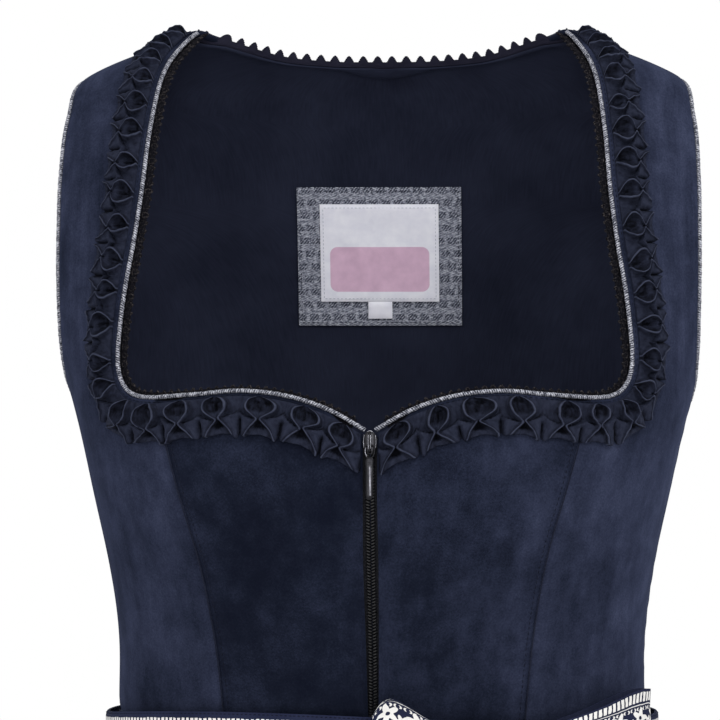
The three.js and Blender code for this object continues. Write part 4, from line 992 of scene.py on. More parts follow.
def ruche_grid(track):
    """Each pleat is a grid that follows its two rims, thin raised rolls. Inside the mouth the cloth drops
    by a power of how far in the point is, to a floor with a slit near the neckline and a bowl near the
    pinch; under the pinch is a small hole. Outside a rim the cloth lies flat down to a crease that
    runs out from the pinch, then stands in a facet that falls towards the outer edge, with a slot between
    two pleats. The last grid is painted light and shade for the colour: 1 on a rim, a painted highlight,
    down to 0 in a slit and in the hole, painted shade; painted shade also lies beside the rims, along the
    crease and in the slots."""
    pleats = RUCHE.units
    seed = draw.uniform(-1, 1, (9, pleats, 1, 1))
    v = np.linspace(0, 1, RUCHE_ROWS + 1)[None, :, None]
    part = [np.linspace(k, k + 1, steps, endpoint=False) for k, steps in enumerate(RUCHE_STEPS)]
    part = np.concatenate([*part, [3]])
    part = np.concatenate([-part[:0:-1], part])[None, None, :]
    way = np.sign(part)
    part = np.abs(part)
    moved = np.clip(v + (0.08 * seed[0] + 0.025 * seed[8] * way) * np.sin(np.pi * v), 0, 1)
    uneven = 0.06 * np.sin(8 * v + 5 * seed[6] + 2 * way) * np.sin(np.pi * v)
    mouth = through(MOUTH, 1, moved) * (0.97 + 0.2 * seed[1] + 0.13 * seed[2] * way + uneven)
    mouth = np.clip(mouth, RIM_HALF + 0.002, 0.42)
    inside = (mouth - RIM_HALF) * np.clip(part, 0, 1)
    rim_part = 2 * RIM_HALF * np.clip(part - 1, 0, 1)
    outside = (0.5 - mouth - RIM_HALF) * np.clip(part - 2, 0, 1)
    x = way * (inside + rim_part + outside)
    lean = 0.2 * seed[3] * (v - 0.5) + 0.06 * seed[4] + 0.05 * seed[5] * np.sin(2 * np.pi * v)
    place = x + lean * (1 - np.clip(np.abs(x) * 2, 0, 1) ** 2)
    rim_height = RUCHE_RISE * through(RIM_HEIGHT, 1, moved) * (1 + 0.14 * seed[5] + 0.06 * seed[7] * way)
    in_share = np.clip(part, 0, 1)
    slit = bell_curve(x - 0.02 * seed[6], 0.03) * smoothstep(-np.abs(v - 0.24 - 0.03 * seed[7]), -0.2, -0.12)
    bar = bell_curve(v - 0.13 - 0.02 * seed[7], 0.035) * smoothstep(-in_share, -0.95, -0.6)
    slit = np.maximum(slit, 0.85 * bar)
    in_bowl = smoothstep(moved, 0.33, 0.54)
    under_pinch = smoothstep(moved, 0.61, 0.66)
    deep = 0.3 * rim_height * (1 - 0.9 * slit)
    below_pinch = rim_height * lerp(0.04, 0.55, smoothstep(moved, 0.76, 0.9))
    bottom = lerp(lerp(deep, 0.62 * rim_height, in_bowl), below_pinch, under_pinch)
    hollow = bottom + (rim_height - 0.3 - bottom) * in_share**5
    side = np.abs(x)
    out_share = np.clip(part - 2, 0, 1)
    crease = lerp(0.66, 0.41 + 0.05 * seed[7] * way, out_share)
    past = (moved - crease) / (1 - crease)
    facet = lerp(0.9, RUCHE_RISE * lerp(0.7, 0.26, np.clip(past, 0, 1)), smoothstep(past, -0.03, 0.09))
    slot = bell_curve(0.5 - side, 0.05) * smoothstep(moved, 0.52, 0.68)
    facet = facet * (1 - 0.94 * slot)
    slope = facet + (rim_height - 0.5 - facet) * (1 - out_share) ** 5
    roll = 0.6 * np.sin(np.pi * np.clip(part - 1, 0, 1)) ** 0.7
    on_rim = lerp(rim_height - 0.35, rim_height - 0.5, np.clip(part - 1, 0, 1)) + roll
    height = np.where(part <= 1, hollow, np.where(part < 2, on_rim, slope))
    crumple = 0.34 * np.sin(19 * v + 9 * x + 5 * seed[1]) * np.sin(23 * x - 7 * v + 4 * seed[2])
    height = np.maximum(height + crumple * np.minimum(1, height / 2), 0.12)
    # painted shade: darker down in the hollow, darkest in the slit and the hole under the pinch
    painted_shade_inside = lerp(lerp(0.17, 0.5, in_bowl), lerp(0.0, 0.42, smoothstep(moved, 0.78, 0.9)), under_pinch)
    painted_shade_inside = painted_shade_inside * (1 - slit) * lerp(1, 0.55, smoothstep(in_share, 0.6, 0.95))
    # painted shade beside the rims, along the crease and in the slots
    shaded = bell_curve(out_share, 0.2) * 0.6 + bell_curve(past + 0.05, 0.06) * 0.8 * (out_share > 0.1)
    painted_shade_outside = (0.46 + 0.08 * smoothstep(past, 0, 0.1)) * (1 - np.clip(shaded, 0, 0.85)) * (1 - slot)
    # painted highlight on the rolled rims
    painted_rim_highlight = 0.55 + 0.45 * np.sin(np.pi * np.clip(part - 1, 0, 1))
    painted_light = np.where(part <= 1, painted_shade_inside, np.where(part < 2, painted_rim_highlight, painted_shade_outside))
    reach = at_pleat(track, np.arange(pleats)[:, None, None] + 0.5 + place)
    jagged = 0.07 * bell_curve(side - 0.4, 0.09) * (1 + 0.6 * seed[8] * way)
    jagged = jagged - 0.07 * bell_curve(side - 0.5, 0.03)
    across = v * (1 + v**4 * (jagged - 0.03 * bell_curve(x, 0.12)))
    grids = np.broadcast_arrays(reach, across, height, painted_light)
    reach, across, height, painted_light = (np.hstack([grid[0], *grid[1:, :, 1:]]) for grid in grids)
    top = ruche_place(track, reach, across, height)
    base = ruche_place(track, reach, across, -0.15)
    pinch_reach = at_pleat(track, np.arange(pleats) + 0.5 + lean[:, 0, 0])
    pinch_height = rim_height[:, int(RUCHE.pinch * RUCHE_ROWS), 0] + 0.1
    knots = ruche_place(track, pinch_reach, RUCHE.pinch + 0 * pinch_reach, pinch_height)
    return top, base, knots, painted_light


track = ruche_track()
knots = []
for side, hand in SIDES:
    # the last grid is painted light and shade
    *grids, painted_light = ruche_grid(track)
    top, base, knots_here = sided(side, *grids)
    put(wall(f"ruche_{hand}", top, base, RUCHE_CLOTH, sharp=75, painted_light=painted_light), f"ruche_{hand}")
    knots.append(knots_here)
knots = np.vstack(knots)
knot_along = draw.normal(size=knots.shape)
settle(many("pinch_knots", spindle(5, 4), knots, knot_along, -Y_AXIS, (0.6, 0.3, 0.3), THREAD_AND_SEAM_SHADE), [])

# Lace: a braid under the front neckline with a row of small loops, and pointed teeth along the back.
LACE_LEVEL = -BODICE_WALL - 0.7
LACE_THICK = 0.8
LOOP_PITCH = 4.1
LOOP_SIZE = (2.2, -2.7, 2.4)
BRAID_PAST = (2.6, 3.8)  # at the centre front, and on the strap


def lace_loop():
    """A loop of thread in the unit square: x swings by a sine, y bulges out by another, and back to the
    braid."""
    t = np.linspace(0, 1, 9)
    line = stacked(0.6 * np.sin(2 * np.pi * t), 1.3 * np.sin(np.pi * t) - 0.3, 0)
    vertices, faces, _ = tube(line, np.cross(Z_AXIS, heading(line)), Z_AXIS, 0.24, 4)
    return vertices, faces


run = run_of(neck_edge.points)
past = lerp(*BRAID_PAST, smoothstep(run, 110, 160))[:, None]
under = lifted(spot_near(neck_edge.points + neck_edge.into * PICOT.under), LACE_LEVEL)
at_edge = lifted(spot_near(neck_edge.points), LACE_LEVEL)
beyond = [at_edge - neck_edge.into * past * share for share in np.linspace(0, 1, 7)]
grid = np.stack([under, lerp(under, at_edge, 0.5), *beyond], 1)
start = run > 3.5
ripple = 0.22 * np.sin(run / 0.45)[:, None, None] * neck_edge.out[:, None]
braid = (grid + ripple)[start]
behind = (grid - neck_edge.out[:, None] * LACE_THICK)[start]
points = neck_edge.points - neck_edge.out * (BODICE_WALL + 1.0) - neck_edge.into * past
places, along, out = evenly(points[start], LOOP_PITCH, neck_edge.out[start])
for side, hand in SIDES:
    name = f"picot_front_{hand}"
    put(wall(name, *sided(side, braid, behind), BRAID), name)
    sizes = draw.uniform(0.85, 1.2, (len(places), 3)) * LOOP_SIZE
    loops = many(f"picot_loops_{hand}", lace_loop(), *sided(side, places, along * side, out), sizes, LACE)
    settle(loops, [])

back_rows = back_centre()[::-1]


def inside_back(share, down, level):
    """A point inside the back, at a share of its width and a distance down from its top edge."""
    share, down = np.broadcast_arrays(np.asarray(share, float), np.asarray(down, float))
    columns = back_rows.shape[1] - 1
    rows = back_rows[: 6 * FINE]
    face = lifted(rows, level)
    u = np.clip(share * columns, 0, columns - 1e-6)
    left = np.floor(u).astype(int)
    lines = lerp(face[:, left], face[:, left + 1], (u - left)[None, ..., None])
    steps = np.linalg.norm(np.diff(lines, axis=0), axis=-1)
    run = np.concatenate([np.zeros((1, *steps.shape[1:])), np.cumsum(steps, 0)])
    i = np.clip((run <= down).sum(0) - 1, 0, len(rows) - 2)
    column = np.arange(len(i))
    here, below = run[i, column], run[i + 1, column]
    return lerp(lines[i, column], lines[i + 1, column], ((down - here) / (below - here))[..., None])


LACE_ENDS = 0.012
TOOTH_STEPS = 12
share = np.linspace(LACE_ENDS, 1 - LACE_ENDS, PICOT.back_teeth * TOOTH_STEPS + 1)
from_tip = np.abs((np.arange(len(share)) / TOOTH_STEPS) % 1 - 0.5)
tooth = np.clip(1 - (from_tip / 0.32) ** 1.75, 0, 1)
tooth = PICOT.back_valley + (PICOT.back_tooth - PICOT.back_valley) * tooth
tooth = tooth * lerp(0.45, 1, smoothstep(0.5 - np.abs(share - 0.5), LACE_ENDS, LACE_ENDS + 0.025))
LACE_UP = unit(np.array([0, -0.35, 0.94]))


def tooth_face(level):
    """The lace's face: a strip under the edge, and teeth that stand nearly upright on it, square to it. A
    tooth falls away from its tip by a power of the distance."""
    edge_line = inside_back(share, 0.0, level)
    under = inside_back(share, PICOT.under, level)
    along = heading(edge_line)
    up = unit(LACE_UP - along * (along @ LACE_UP)[:, None])
    rise = np.linspace(0, 1, 5)[1:, None]
    return np.stack([under, edge_line, *(edge_line + up * (tooth * r)[:, None] for r in rise)], 1)


teeth = wall("picot_back", tooth_face(LACE_LEVEL), tooth_face(LACE_LEVEL - LACE_THICK), BACK_LACE)
put(teeth, "picot_back")
border = evenly(tooth_face(LACE_LEVEL - LACE_THICK / 2)[:, -1], 1.05)
settle(many("picot_beads", STITCH, *border, -Y_AXIS, (0.6, 0.3, 0.45), BACK_LACE), [])

# Shoulder: the back's bound edge rolls over the seam, behind the end of the piping.
ROLL_RADIUS = 2.0
ROLL_SINKS = (0, 0, 1.4)
ROLL_SPOTS = ((74, -5.6), (80, -3.9), (86, -2.0))
ROLL_PAST_SEAM = ((91.5, 2.4, -1.8), (97, 1.8, -2.6), (103, 1.4, -4.6))
over = [on_body(spots_at(x, z, back=True)) - ROLL_SINKS for x, z in ROLL_SPOTS]
line = rope(np.array([*over, *ROLL_PAST_SEAM]), 0.5, 12)
across = unit(np.cross(heading(line), Z_AXIS))
roll = (line, across, np.cross(across, heading(line)))
rolls = [tube(*sided(side, *roll), ROLL_RADIUS, 12) for side, _ in SIDES]
settle(cord_piece("shoulder_roll", rolls, SUEDE), [])

FACING_LEVEL = LACE_LEVEL - 1.5
facing_share = np.linspace(LACE_ENDS, 1 - LACE_ENDS, 121)
facing_down = np.linspace(FACING.start, FACING.start + FACING.width, 7)


def facing_face(level, soft=0.0):
    """The tape's face, its borders rounded away by a Gaussian of the distance to them."""
    near = np.minimum(facing_down - facing_down[0], facing_down[-1] - facing_down)
    heights = level + soft * bell_curve(near, 0.9)
    return np.stack([inside_back(facing_share, *row) for row in zip(facing_down, heights)], 1)


facing = wall("neck_facing", facing_face(FACING_LEVEL - FACING.thick, 0.4), facing_face(FACING_LEVEL), LINING)
put(facing, "neck_facing")


# Label: a tweed patch inside the back, a white label on it and a small tab below that.
def inside_patch(name, finish, top, wide, tall, layer, columns, wave, sewn_over=0.02):
    """A flat piece on the back's inner face. Its face ripples slowly and rounds off at its borders. Gives a
    closed line just inside its borders, and the line's normals."""
    level = -BODICE_WALL - LABEL.off - layer * (LABEL.wall + LABEL.clear)
    rows = max(6, int(tall / 1.6))
    x = LABEL.x + wide * np.linspace(-0.5, 0.5, columns + 1)[None, :]
    z = top - tall * np.linspace(0, 1, rows + 1)[:, None]
    spots = spots_at(x, z, True)
    ripple = wave * np.sin(x / 5.3 + z / 8) * np.sin(z / 6.1 - x / 11)
    face = lifted(spots, level - LABEL.wall + 0.45 * bell_curve(edge_distance(on_body(spots)), 0.8) + ripple)
    uv = stacked(x - LABEL.x, z - (top - tall / 2))
    put(wall(name, face, lifted(spots, level), finish, uv), name)
    inner = spots[1:-1, 1:-1]
    line = np.vstack([inner[0], inner[:, -1], inner[-1, ::-1], inner[::-1, 0]])
    return lifted(line, level - LABEL.wall - sewn_over), -outward(line)


patch_border = inside_patch("label_patch", TWEED, top=-75, wide=85, tall=71.6, layer=0, columns=52,
                            wave=0.22, sewn_over=0.05)
label_border = inside_patch("label", SATIN, top=-83.3, wide=61.6, tall=50.5, layer=1, columns=38,
                            wave=0.12)
inside_patch("size_tab", TAB_SATIN, top=-133.9, wide=12.5, tall=8.8, layer=1, columns=10, wave=0.05)
settle(stitches("patch_stitches", [patch_border], THREAD_AND_SEAM_SHADE, 2.4), [])
settle(stitches("label_stitches", [label_border], PALE_THREAD, 2.0, 1.4, 0.26), [])

# Zip: woven tapes, the closed coil's two rows of turns, the slider with its bridge, and the pull.
for side, hand in SIDES:
    z = np.linspace(ZIP.top - 2, -WAIST_DROP + 1, 90)[:, None]
    x = np.linspace(TRIM_GAP / 2, ZIP.tape, 9)[None, :]
    spots = spots_at(x, z)
    faces = sided(side, lifted(spots, ZIP.level), lifted(spots, ZIP.level - ZIP.thick))
    put(wall(f"zip_tape_{hand}", *faces, TAPE, stacked(x, z)), f"zip_tape_{hand}")

left_z = np.arange(COIL.top, -WAIST_DROP + 2, -COIL.pitch) - COIL.pitch / 2
spots = np.vstack([spots_at(COIL.off, left_z), spots_at(-COIL.off, left_z + COIL.pitch / 2)])
slant = np.repeat([(1.0, 0.0, 0.42), (-1.0, 0.0, 0.42)], len(left_z), axis=0)
turns = (lifted(spots, COIL.level), slant, outward(spots), COIL.half_turn)
put(many("zip_coil", spindle(6, 5), *turns, NYLON), "zip_coil")

SLIDER_MIDDLE = 5.5
slider_out = outward(spots_at(0.0, ZIP.top - SLIDER_MIDDLE))
slider_axes = np.stack([(1.0, 0.0, 0.0), np.cross(slider_out, (1.0, 0.0, 0.0)), slider_out])
slider_origin = on_body(spots_at(0.0, ZIP.top))


def placed(points, faces):
    """A shape whose points are given across the zip, up it and out of the cloth, from the slider's top,
    with its faces turned to point out."""
    vertices = slider_origin + points @ slider_axes
    return vertices, faces if volume_sign(vertices, faces) > 0 else faces[:, ::-1], np.zeros((len(points), 2))


def lozenge(profile, sides=20, power=2.6):
    """A closed form from sections along y, each a superellipse: rows of y, middle z, half width, half
    height."""
    turn = 2 * np.pi * np.arange(sides) / sides
    c, s = np.cos(turn), np.sin(turn)
    x = np.sign(c) * np.abs(c) ** (2 / power)
    z = np.sign(s) * np.abs(s) ** (2 / power)
    at, level, half, tall = (column[:, None] for column in rope(profile, 0.5, 6).T)
    tips = stacked(0, at, level)[[0, -1], 0]
    return placed(*closed_rings(stacked(half * x, at, level + tall * z), tips))


def wire(points, radius, sides=10):
    """A bent wire in the slider's axes: a smooth line through points, with a round section."""
    line = rope(np.asarray(points, float), 0.5, 10)
    along = heading(line)
    across = unit(np.cross(along, OFF_AXIS))
    vertices, faces, _ = tube(line, across, np.cross(across, along), radius, sides)
    return placed(vertices, faces)


def mirrored(half):
    """A row of pairs, and back again with the first of each turned round."""
    return half + [(-a, b) for a, b in half[-2::-1]]


OFF_AXIS = (0.31, 0.11, 0.94)  # a direction that no wire runs along
PLATE = np.array([(0.0, 0.9, 1.3, 0.25), (-0.7, 0.9, 2.0, 0.42), (-2.4, 0.92, 2.95, 0.46),
                  (-7.0, 0.92, 2.9, 0.46), (-9.6, 0.9, 2.35, 0.44), (-11.0, 0.9, 1.6, 0.25)])
BRIDGE_HALF = [(4.3, 1.0), (4.5, 2.6), (4.0, 3.9), (2.5, 4.25), (0, 4.3)]
BRIDGE_LINE = [(0, y - SLIDER_MIDDLE, z) for y, z in mirrored(BRIDGE_HALF)]
put(cord_piece("zip_slider", [lozenge(PLATE), wire(BRIDGE_LINE, 0.75, 12)], METAL), "zip_slider")
# painted highlights: thin light wires along the slider plate's edges and over its bridge
plate_highlight = np.array([(2.7, -1.9, 1.1), (3.0, -4.6, 1.15), (2.75, -8.2, 1.1)])
highlight_wires = [wire(on_side(plate_highlight, side), 0.2) for side, _ in SIDES]
highlight_wires += [wire([(-1.2, -0.3, 1.2), (0, 0.1, 1.35), (1.2, -0.3, 1.2)], 0.26)]
bridge_highlight = np.array([(0.5, -2.2, 4.75), (0.56, -5.5, 4.85), (0.5, -8.8, 4.75)])
highlight_wires += [wire(on_side(bridge_highlight, side), 0.14, 6) for side, _ in SIDES]
settle(cord_piece("slider_highlights", highlight_wires, HIGHLIGHT_METAL), [])

PULL_LEVEL = 2.5
PULL_TAB = np.array([
    (-12.7, PULL_LEVEL, 1.2, 0.42), (-13.6, PULL_LEVEL, 2.0, 0.58), (-17.0, PULL_LEVEL, 1.95, 0.62),
    (-27.0, PULL_LEVEL, 1.8, 0.62), (-31.6, PULL_LEVEL, 1.65, 0.56), (-33.0, PULL_LEVEL, 0.9, 0.3),
])
BAIL_HALF = [(0, -7.0), (-1.6, -7.0), (-2.25, -7.7), (-2.2, -10.5), (-1.5, -12.4), (0, -13.1)]


def pull_wire(points, radius, sides=10):
    """A wire of the pull. The heights of its points are over the pull's middle."""
    return wire(np.array(points, float) + (0, 0, PULL_LEVEL), radius, sides)


bail = pull_wire([(x, y, 0) for x, y in mirrored(BAIL_HALF)], 0.42)
ribs = [pull_wire([(-1.1, y, 0.55), (1.1, y, 0.55)], 0.16, 6) for y in (-15.2, -16.0)]
pull = cord_piece("zip_pull", [lozenge(PULL_TAB, 24, 3.4), bail, *ribs], METAL)
settle(pull, ["zip_pull"], "pull")
# painted highlights: a light streak down the pull and a glint on its bail
highlight_streak = pull_wire([(0.1, -17.2, 0.42), (0.3, -24, 0.5), (0.5, -31, 0.4)], 0.55)
glint = pull_wire([(-1.9, -8.2, 0.32), (-2.05, -10.4, 0.34), (-1.3, -12.2, 0.32)], 0.2)
settle(cord_piece("pull_highlights", [highlight_streak, glint], HIGHLIGHT_METAL), [], "pull")


# Skirt and apron.
def ring_point(section, squareness, angle, z, out):
    """A point on a superellipse round the body, moved out square to it."""
    half, front, back = section
    s = np.sin(angle)
    c = np.cos(angle)
    depth = np.where(c >= 0, front, back)
    r = (np.abs(s) ** squareness + np.abs(c) ** squareness) ** (-1 / squareness)
    away = unit(stacked(s / half, -c / depth, 0))
    return stacked(half * r * s, -depth * r * c, z) + away * np.asarray(out)[..., None]


def bell(angle, z, out):
    """A point on the skirt's bell, whose sections turn from the waist's shape into plain ellipses."""
    squareness = lerp(2, SQUARENESS, smoothstep(z, -440, -366))
    section = tuple(through(BELL, column, z) for column in (HALF, FRONT, BACK))
    return ring_point(section, squareness, angle, z, out)


def waist_point(angle, z, out):
    return ring_point(tuple(SECTIONS[0, 1:]), SQUARENESS, angle, z, out)


def fold_at(angle, z, count):
    """Folds from 0 in the valleys to 1 on the crests: a cosine of the angle whose phase and depth
    wander."""
    phase = count * angle + 0.35 * np.sin(3 * angle + 1) + 0.4 * np.sin((z + WAIST_DROP) / 260 + 2 * angle)
    return (0.8 + 0.2 * np.sin(5 * angle + 0.6)) * (0.5 + 0.5 * np.cos(phase))


SKIRT_FOLDS = 28
FOLD_STEPS = 12
HEM_DEPTH = 22
APRON_TOP = -365.5
APRON_HEM = HEM + APRON_SHORTER + 15
APRON_FOLD = 0.7
APRON_REACH = np.radians(74)
skirt_z = -WAIST_DROP - TRIM_GAP - (SKIRT_LENGTH - TRIM_GAP) * np.linspace(0, 1, 62) ** 1.35


def gathers(angle, z, count, low=-470):
    """Small gathers that die out below the waist."""
    fade = smoothstep(z, low, -352)
    large = 0.55 * np.sin(count * angle + 1.4 * np.sin(9 * angle))
    return fade * (large + 0.25 * np.sin(2.3 * count * angle))


def creases(angle, z):
    """Slow soft creases down the cloth."""
    slow = np.sin(11 * angle + z / 70) * np.sin(z / 41 + 4 * np.sin(3 * angle))
    return 0.9 * slow * smoothstep(-z, 380, 560)


def skirt_face(angle, z, depth):
    fold = through(BELL, FOLD, z) * (2 * fold_at(angle, z, SKIRT_FOLDS) - 1)
    hem = 0.5 * smoothstep(HEM + HEM_DEPTH - z, -0.8, 0.8)
    return bell(angle, z, fold + hem + gathers(angle, z, 96) + creases(angle, z) - depth)


WIDTHS = ("skirt_front_left", "skirt_back_left", "skirt_back_right", "skirt_front_right")
WIDTH_GAP = 0.00002
for quarter, name in enumerate(WIDTHS):
    ends = np.array([quarter, quarter + 1]) * np.pi / 2 + (WIDTH_GAP, -WIDTH_GAP)
    angle = np.linspace(*ends, SKIRT_FOLDS * FOLD_STEPS // 4 + 1)
    grid_angle, grid_z = np.meshgrid(angle, skirt_z)
    faces = [skirt_face(grid_angle, grid_z, depth) for depth in (0, SKIRT_WALL)]
    put(wall(name, *faces, COTTON), name)


def apron_out(z, share):
    """How far the apron stands out over the skirt's own form: share is 0 in a valley, 1 on a crest."""
    fold = through(BELL, FOLD, z)
    return fold + TRIM_GAP + APRON_WALL + 2 * APRON_FOLD * fold * share


def apron_face(angle, z, depth):
    out = apron_out(z, fold_at(angle, z, SKIRT_FOLDS * 0.85)) + 1.0
    hem = 0.4 * smoothstep(APRON_HEM - z, -0.8, 0.8)
    return bell(angle, z, out + hem + 0.7 * np.abs(gathers(angle, z, 90)) + 0.5 * creases(angle, z) - depth)


apron_z = lerp(APRON_TOP, HEM + APRON_SHORTER, np.linspace(0, 1, 56) ** 1.3)
apron_angle, apron_grid_z = np.meshgrid(np.linspace(-APRON_REACH, APRON_REACH, 181), apron_z)
faces = [apron_face(apron_angle, apron_grid_z, depth) for depth in (0, APRON_WALL)]
put(wall("apron", *faces, [PRINT, REVERSE]), "apron")

# Band: its edge rounds over, with a gathered look below it.
def band_shift(turn, z):
    """The band's upper edge rides up to the right of the zip and sinks to its left, and towards the
    sides."""
    tilt = -5.5 * np.sin(turn) * np.clip(np.cos(turn), 0, 1) ** 2
    return (z - BAND_BOTTOM) / (BAND_TOP - BAND_BOTTOM) * (tilt - 3 * np.abs(np.sin(turn)) ** 3)


band_z = np.linspace(BAND_TOP, BAND_BOTTOM, 22)[:, None]
band_turn = np.linspace(0, 2 * np.pi, 321)[None, :-1]
band_near = np.minimum(BAND_TOP - band_z, band_z - BAND_BOTTOM)
ripple = 0.15 * np.sin(40 * band_turn + np.sin(7 * band_turn)) * np.cos(band_z / 5)
band_out = through(BAND_ROWS, 1, band_z) + ripple
band_grid_z = band_z + band_shift(band_turn, band_z)
band_outer = waist_point(band_turn, band_grid_z, band_out + BAND_WALL - 0.7 * bell_curve(band_near, 1.2))
band_inner = waist_point(band_turn, band_grid_z, band_out + 0.1)
waist_run = run_of(waist_point(band_turn[0], (BAND_TOP + BAND_BOTTOM) / 2, 7))
band_uv = stacked(waist_run[None, :], BAND_TOP - band_z)
put(wall("apron_band", band_outer, band_inner, PRINT, band_uv, ring=True), "apron_band")

# Bow. Its places are distances round the waist from the knot, heights, and distances out.
bow_angles = BOW_AT + np.linspace(-1.4, 1.4, 1401)
bow_run = run_of(waist_point(bow_angles, BOW_Z, 2.0))
bow_run = bow_run - bow_run[len(bow_run) // 2]


def waist_angle(distance):
    return np.interp(distance, bow_run, bow_angles)


def under_bow(z):
    """How far out the bow's pieces start: on the band, and below it on the apron where that is further
    out."""
    band_at = through(BAND_ROWS, 1, z) + BAND_WALL
    below = through(BELL, HALF, z) - SECTIONS[0, HALF] + apron_out(z, 1)
    return np.where(z > BAND_BOTTOM, band_at, np.maximum(band_at, below))


KNOT = SimpleNamespace(half=9, top=-338.5, bottom=-365, thick=15, off=0.6)
LOOP_OFF = 2.8
LOOPS = {
    "bow_loop_right": SimpleNamespace(
        way=-1, length=50, rise=4, deep=15, widest=0.94, rounded=0.8, rounds_at=0.8, opens=(0.28, 0.9),
        print_at=-9.2,
    ),
    "bow_loop_left": SimpleNamespace(
        way=1, length=70, rise=6, deep=7, widest=0.97, rounded=0.12, rounds_at=0.6, opens=(-0.02, 0.95),
        print_at=-1.6,
    ),
}


def bow_loop(loop):
    """A loop of the tie: a flattened round path out from the knot and back, wide towards its end and drawn
    in at the knot, where it is pleated by a cosine across it. Its end is rounded by an ellipse's power."""
    turn = np.linspace(0, 2 * np.pi, 73)
    away = KNOT.half + TRIM_GAP + loop.length * (1 - np.cos(turn)) / 2
    out = LOOP_OFF + loop.deep / 2 * (1 + np.sin(turn)) + 1.1 * np.cos(turn / 2)
    path = stacked(away, out)
    tangent = heading(path)
    across = np.linspace(-0.5, 0.5, 25)[None, :]
    share = np.clip((away - KNOT.half) / loop.length, 0, 1)[:, None]
    near_end = np.clip((share - loop.rounds_at) / (1.02 - loop.rounds_at), 0, 1)
    drawn = lerp(0.42, loop.widest, smoothstep(share, *loop.opens))
    drawn = drawn * np.sqrt(1 - loop.rounded * near_end**2.6)
    pleat = 1.1 * (1 - smoothstep(share, 0.05, 0.8)) * (np.cos(5 * np.pi * across) - 1) / 2
    crease = 0.35 * np.sin(17 * across + 6 * share) * np.sin(9 * share)

    def face(depth):
        shift = np.where(np.sin(turn) >= 0, pleat.T, -0.3 * pleat.T).T + crease + depth
        a = away[:, None] - tangent[:, 1:] * shift
        o = out[:, None] + tangent[:, :1] * shift
        z = BOW_Z + loop.rise * share + across * TIE.width * drawn
        z = z + 1.2 * share * np.sin(3 * share * np.pi) * across
        return waist_point(waist_angle(loop.way * np.maximum(a, KNOT.half + TRIM_GAP)), z, under_bow(z) + o)

    uv = stacked(run_of(path)[:, None], (across + 0.5) * TIE.width + loop.print_at)
    return face(TIE.wall / 2), face(-TIE.wall / 2), [PRINT, COTTON], uv


for name, loop in LOOPS.items():
    put(wall(name, *bow_loop(loop), sharp=60), name)

turn = np.linspace(0, 2 * np.pi, 49)[None, :-1]
t = np.linspace(0, 1, 25)[:, None]
knot_z = lerp(KNOT.bottom, KNOT.top, t) + 0 * turn
size = lerp(0.62, 1, np.sin(np.pi * t) ** 0.6)
wrap = 0.5 * np.sin(16 * t + 2.5 * np.cos(turn)) * np.sin(np.pi * t)
round_ = KNOT.thick / 2 * (1 + size * np.sin(turn)) + wrap * np.clip(np.sin(turn), 0, 1)
knot_out = under_bow(knot_z) + KNOT.off + round_
knot_grid = waist_point(waist_angle(KNOT.half * size * np.cos(turn)), knot_z, knot_out)
middle = knot_grid.mean(1, keepdims=True)
uv = stacked(turn * 8, 9 + 26 * t)
knot = wall("bow_knot", knot_grid, lerp(knot_grid, middle, 0.35), PRINT, uv, ring=True, sharp=70)
put(knot, "bow_knot")

TAIL = SimpleNamespace(narrow=8, spread=55, drift=26, off=0.8, folds=0.8, bottom=-665)
tail_z = np.linspace(APRON_TOP, TAIL.bottom, 64)[:, None]
down = APRON_TOP - tail_z
across = np.linspace(0, 1, 19)[None, :]
width = lerp(TAIL.narrow, TIE.width, smoothstep(down, 0, TAIL.spread))
inner_side = TRIM_GAP + TAIL.drift * down / (APRON_TOP - TAIL.bottom)
wave = TAIL.folds * (1 - np.cos(4 * np.pi * across)) * np.abs(np.sin(down / 60)) + 0.8
for name, way in (("bow_tail_right", -1), ("bow_tail_left", 1)):
    angle = waist_angle(way * (inner_side + width * across))
    angle = BOW_AT + (angle - BOW_AT) * SECTIONS[0, HALF] / through(BELL, HALF, tail_z)
    slanted = tail_z + way * 12 * (across - 0.5) * smoothstep(-tail_z, 560, 665)
    out = apron_out(slanted, 1) + TAIL.off + wave
    faces = [bell(angle, slanted, out + depth) for depth in (TIE.wall, 0)]
    put(wall(name, *faces, PRINT, stacked(down, across * TIE.width)), name)

# Sewing that shows, and along each princess seam a thin dark cord, painted shade for the seam's groove.
seam_shadow_cords = []
for spots in (seam_side(princess_front, 0.0), seam_side(princess_back, 0.0, True)):
    line = on_body(spots)
    out = outward(spots)
    across = unit(np.cross(heading(line), out))
    # painted shade: a dark cord along the seam line
    seam_shadow_cords += [tube(*sided(side, line, across, out), 0.3, 6) for side, _ in SIDES]
settle(cord_piece("seam_shadow_cords", seam_shadow_cords, THREAD_AND_SEAM_SHADE), [])
sewn = []
for spots, height in ((seam_side(princess_front, 3.0), 0.16), (seam_side(princess_back, -3.0, True), 0.16),
                      (inset(neck_edge, 2.4)[10:-10], 0.1)):
    sewn += [sided(side, lifted(spots, height), outward(spots)) for side, _ in SIDES]
settle(stitches("bodice_topstitching", sewn, THREAD_AND_SEAM_SHADE, 2.7, 1.8, 0.36), [])
margin_turn = np.linspace(0, 2 * np.pi, 400)
margin_out = unit(waist_point(margin_turn, -338.6, 20) - waist_point(margin_turn, -338.6, 0))
margin = [(waist_point(margin_turn, -337.9 + band_shift(margin_turn, -337.9), 6.75), margin_out)]
settle(stitches("band_stitching", margin, THREAD_AND_SEAM_SHADE, 2.2, 1.5, 0.34), [])
hems = [(face(angle, z + 1.2, -0.25), unit(face(angle, z, -5) - face(angle, z, 0))) for face, angle, z in (
    (skirt_face, np.linspace(0, 2 * np.pi, 1600), HEM + HEM_DEPTH),
    (apron_face, np.linspace(-APRON_REACH, APRON_REACH, 800), APRON_HEM))]
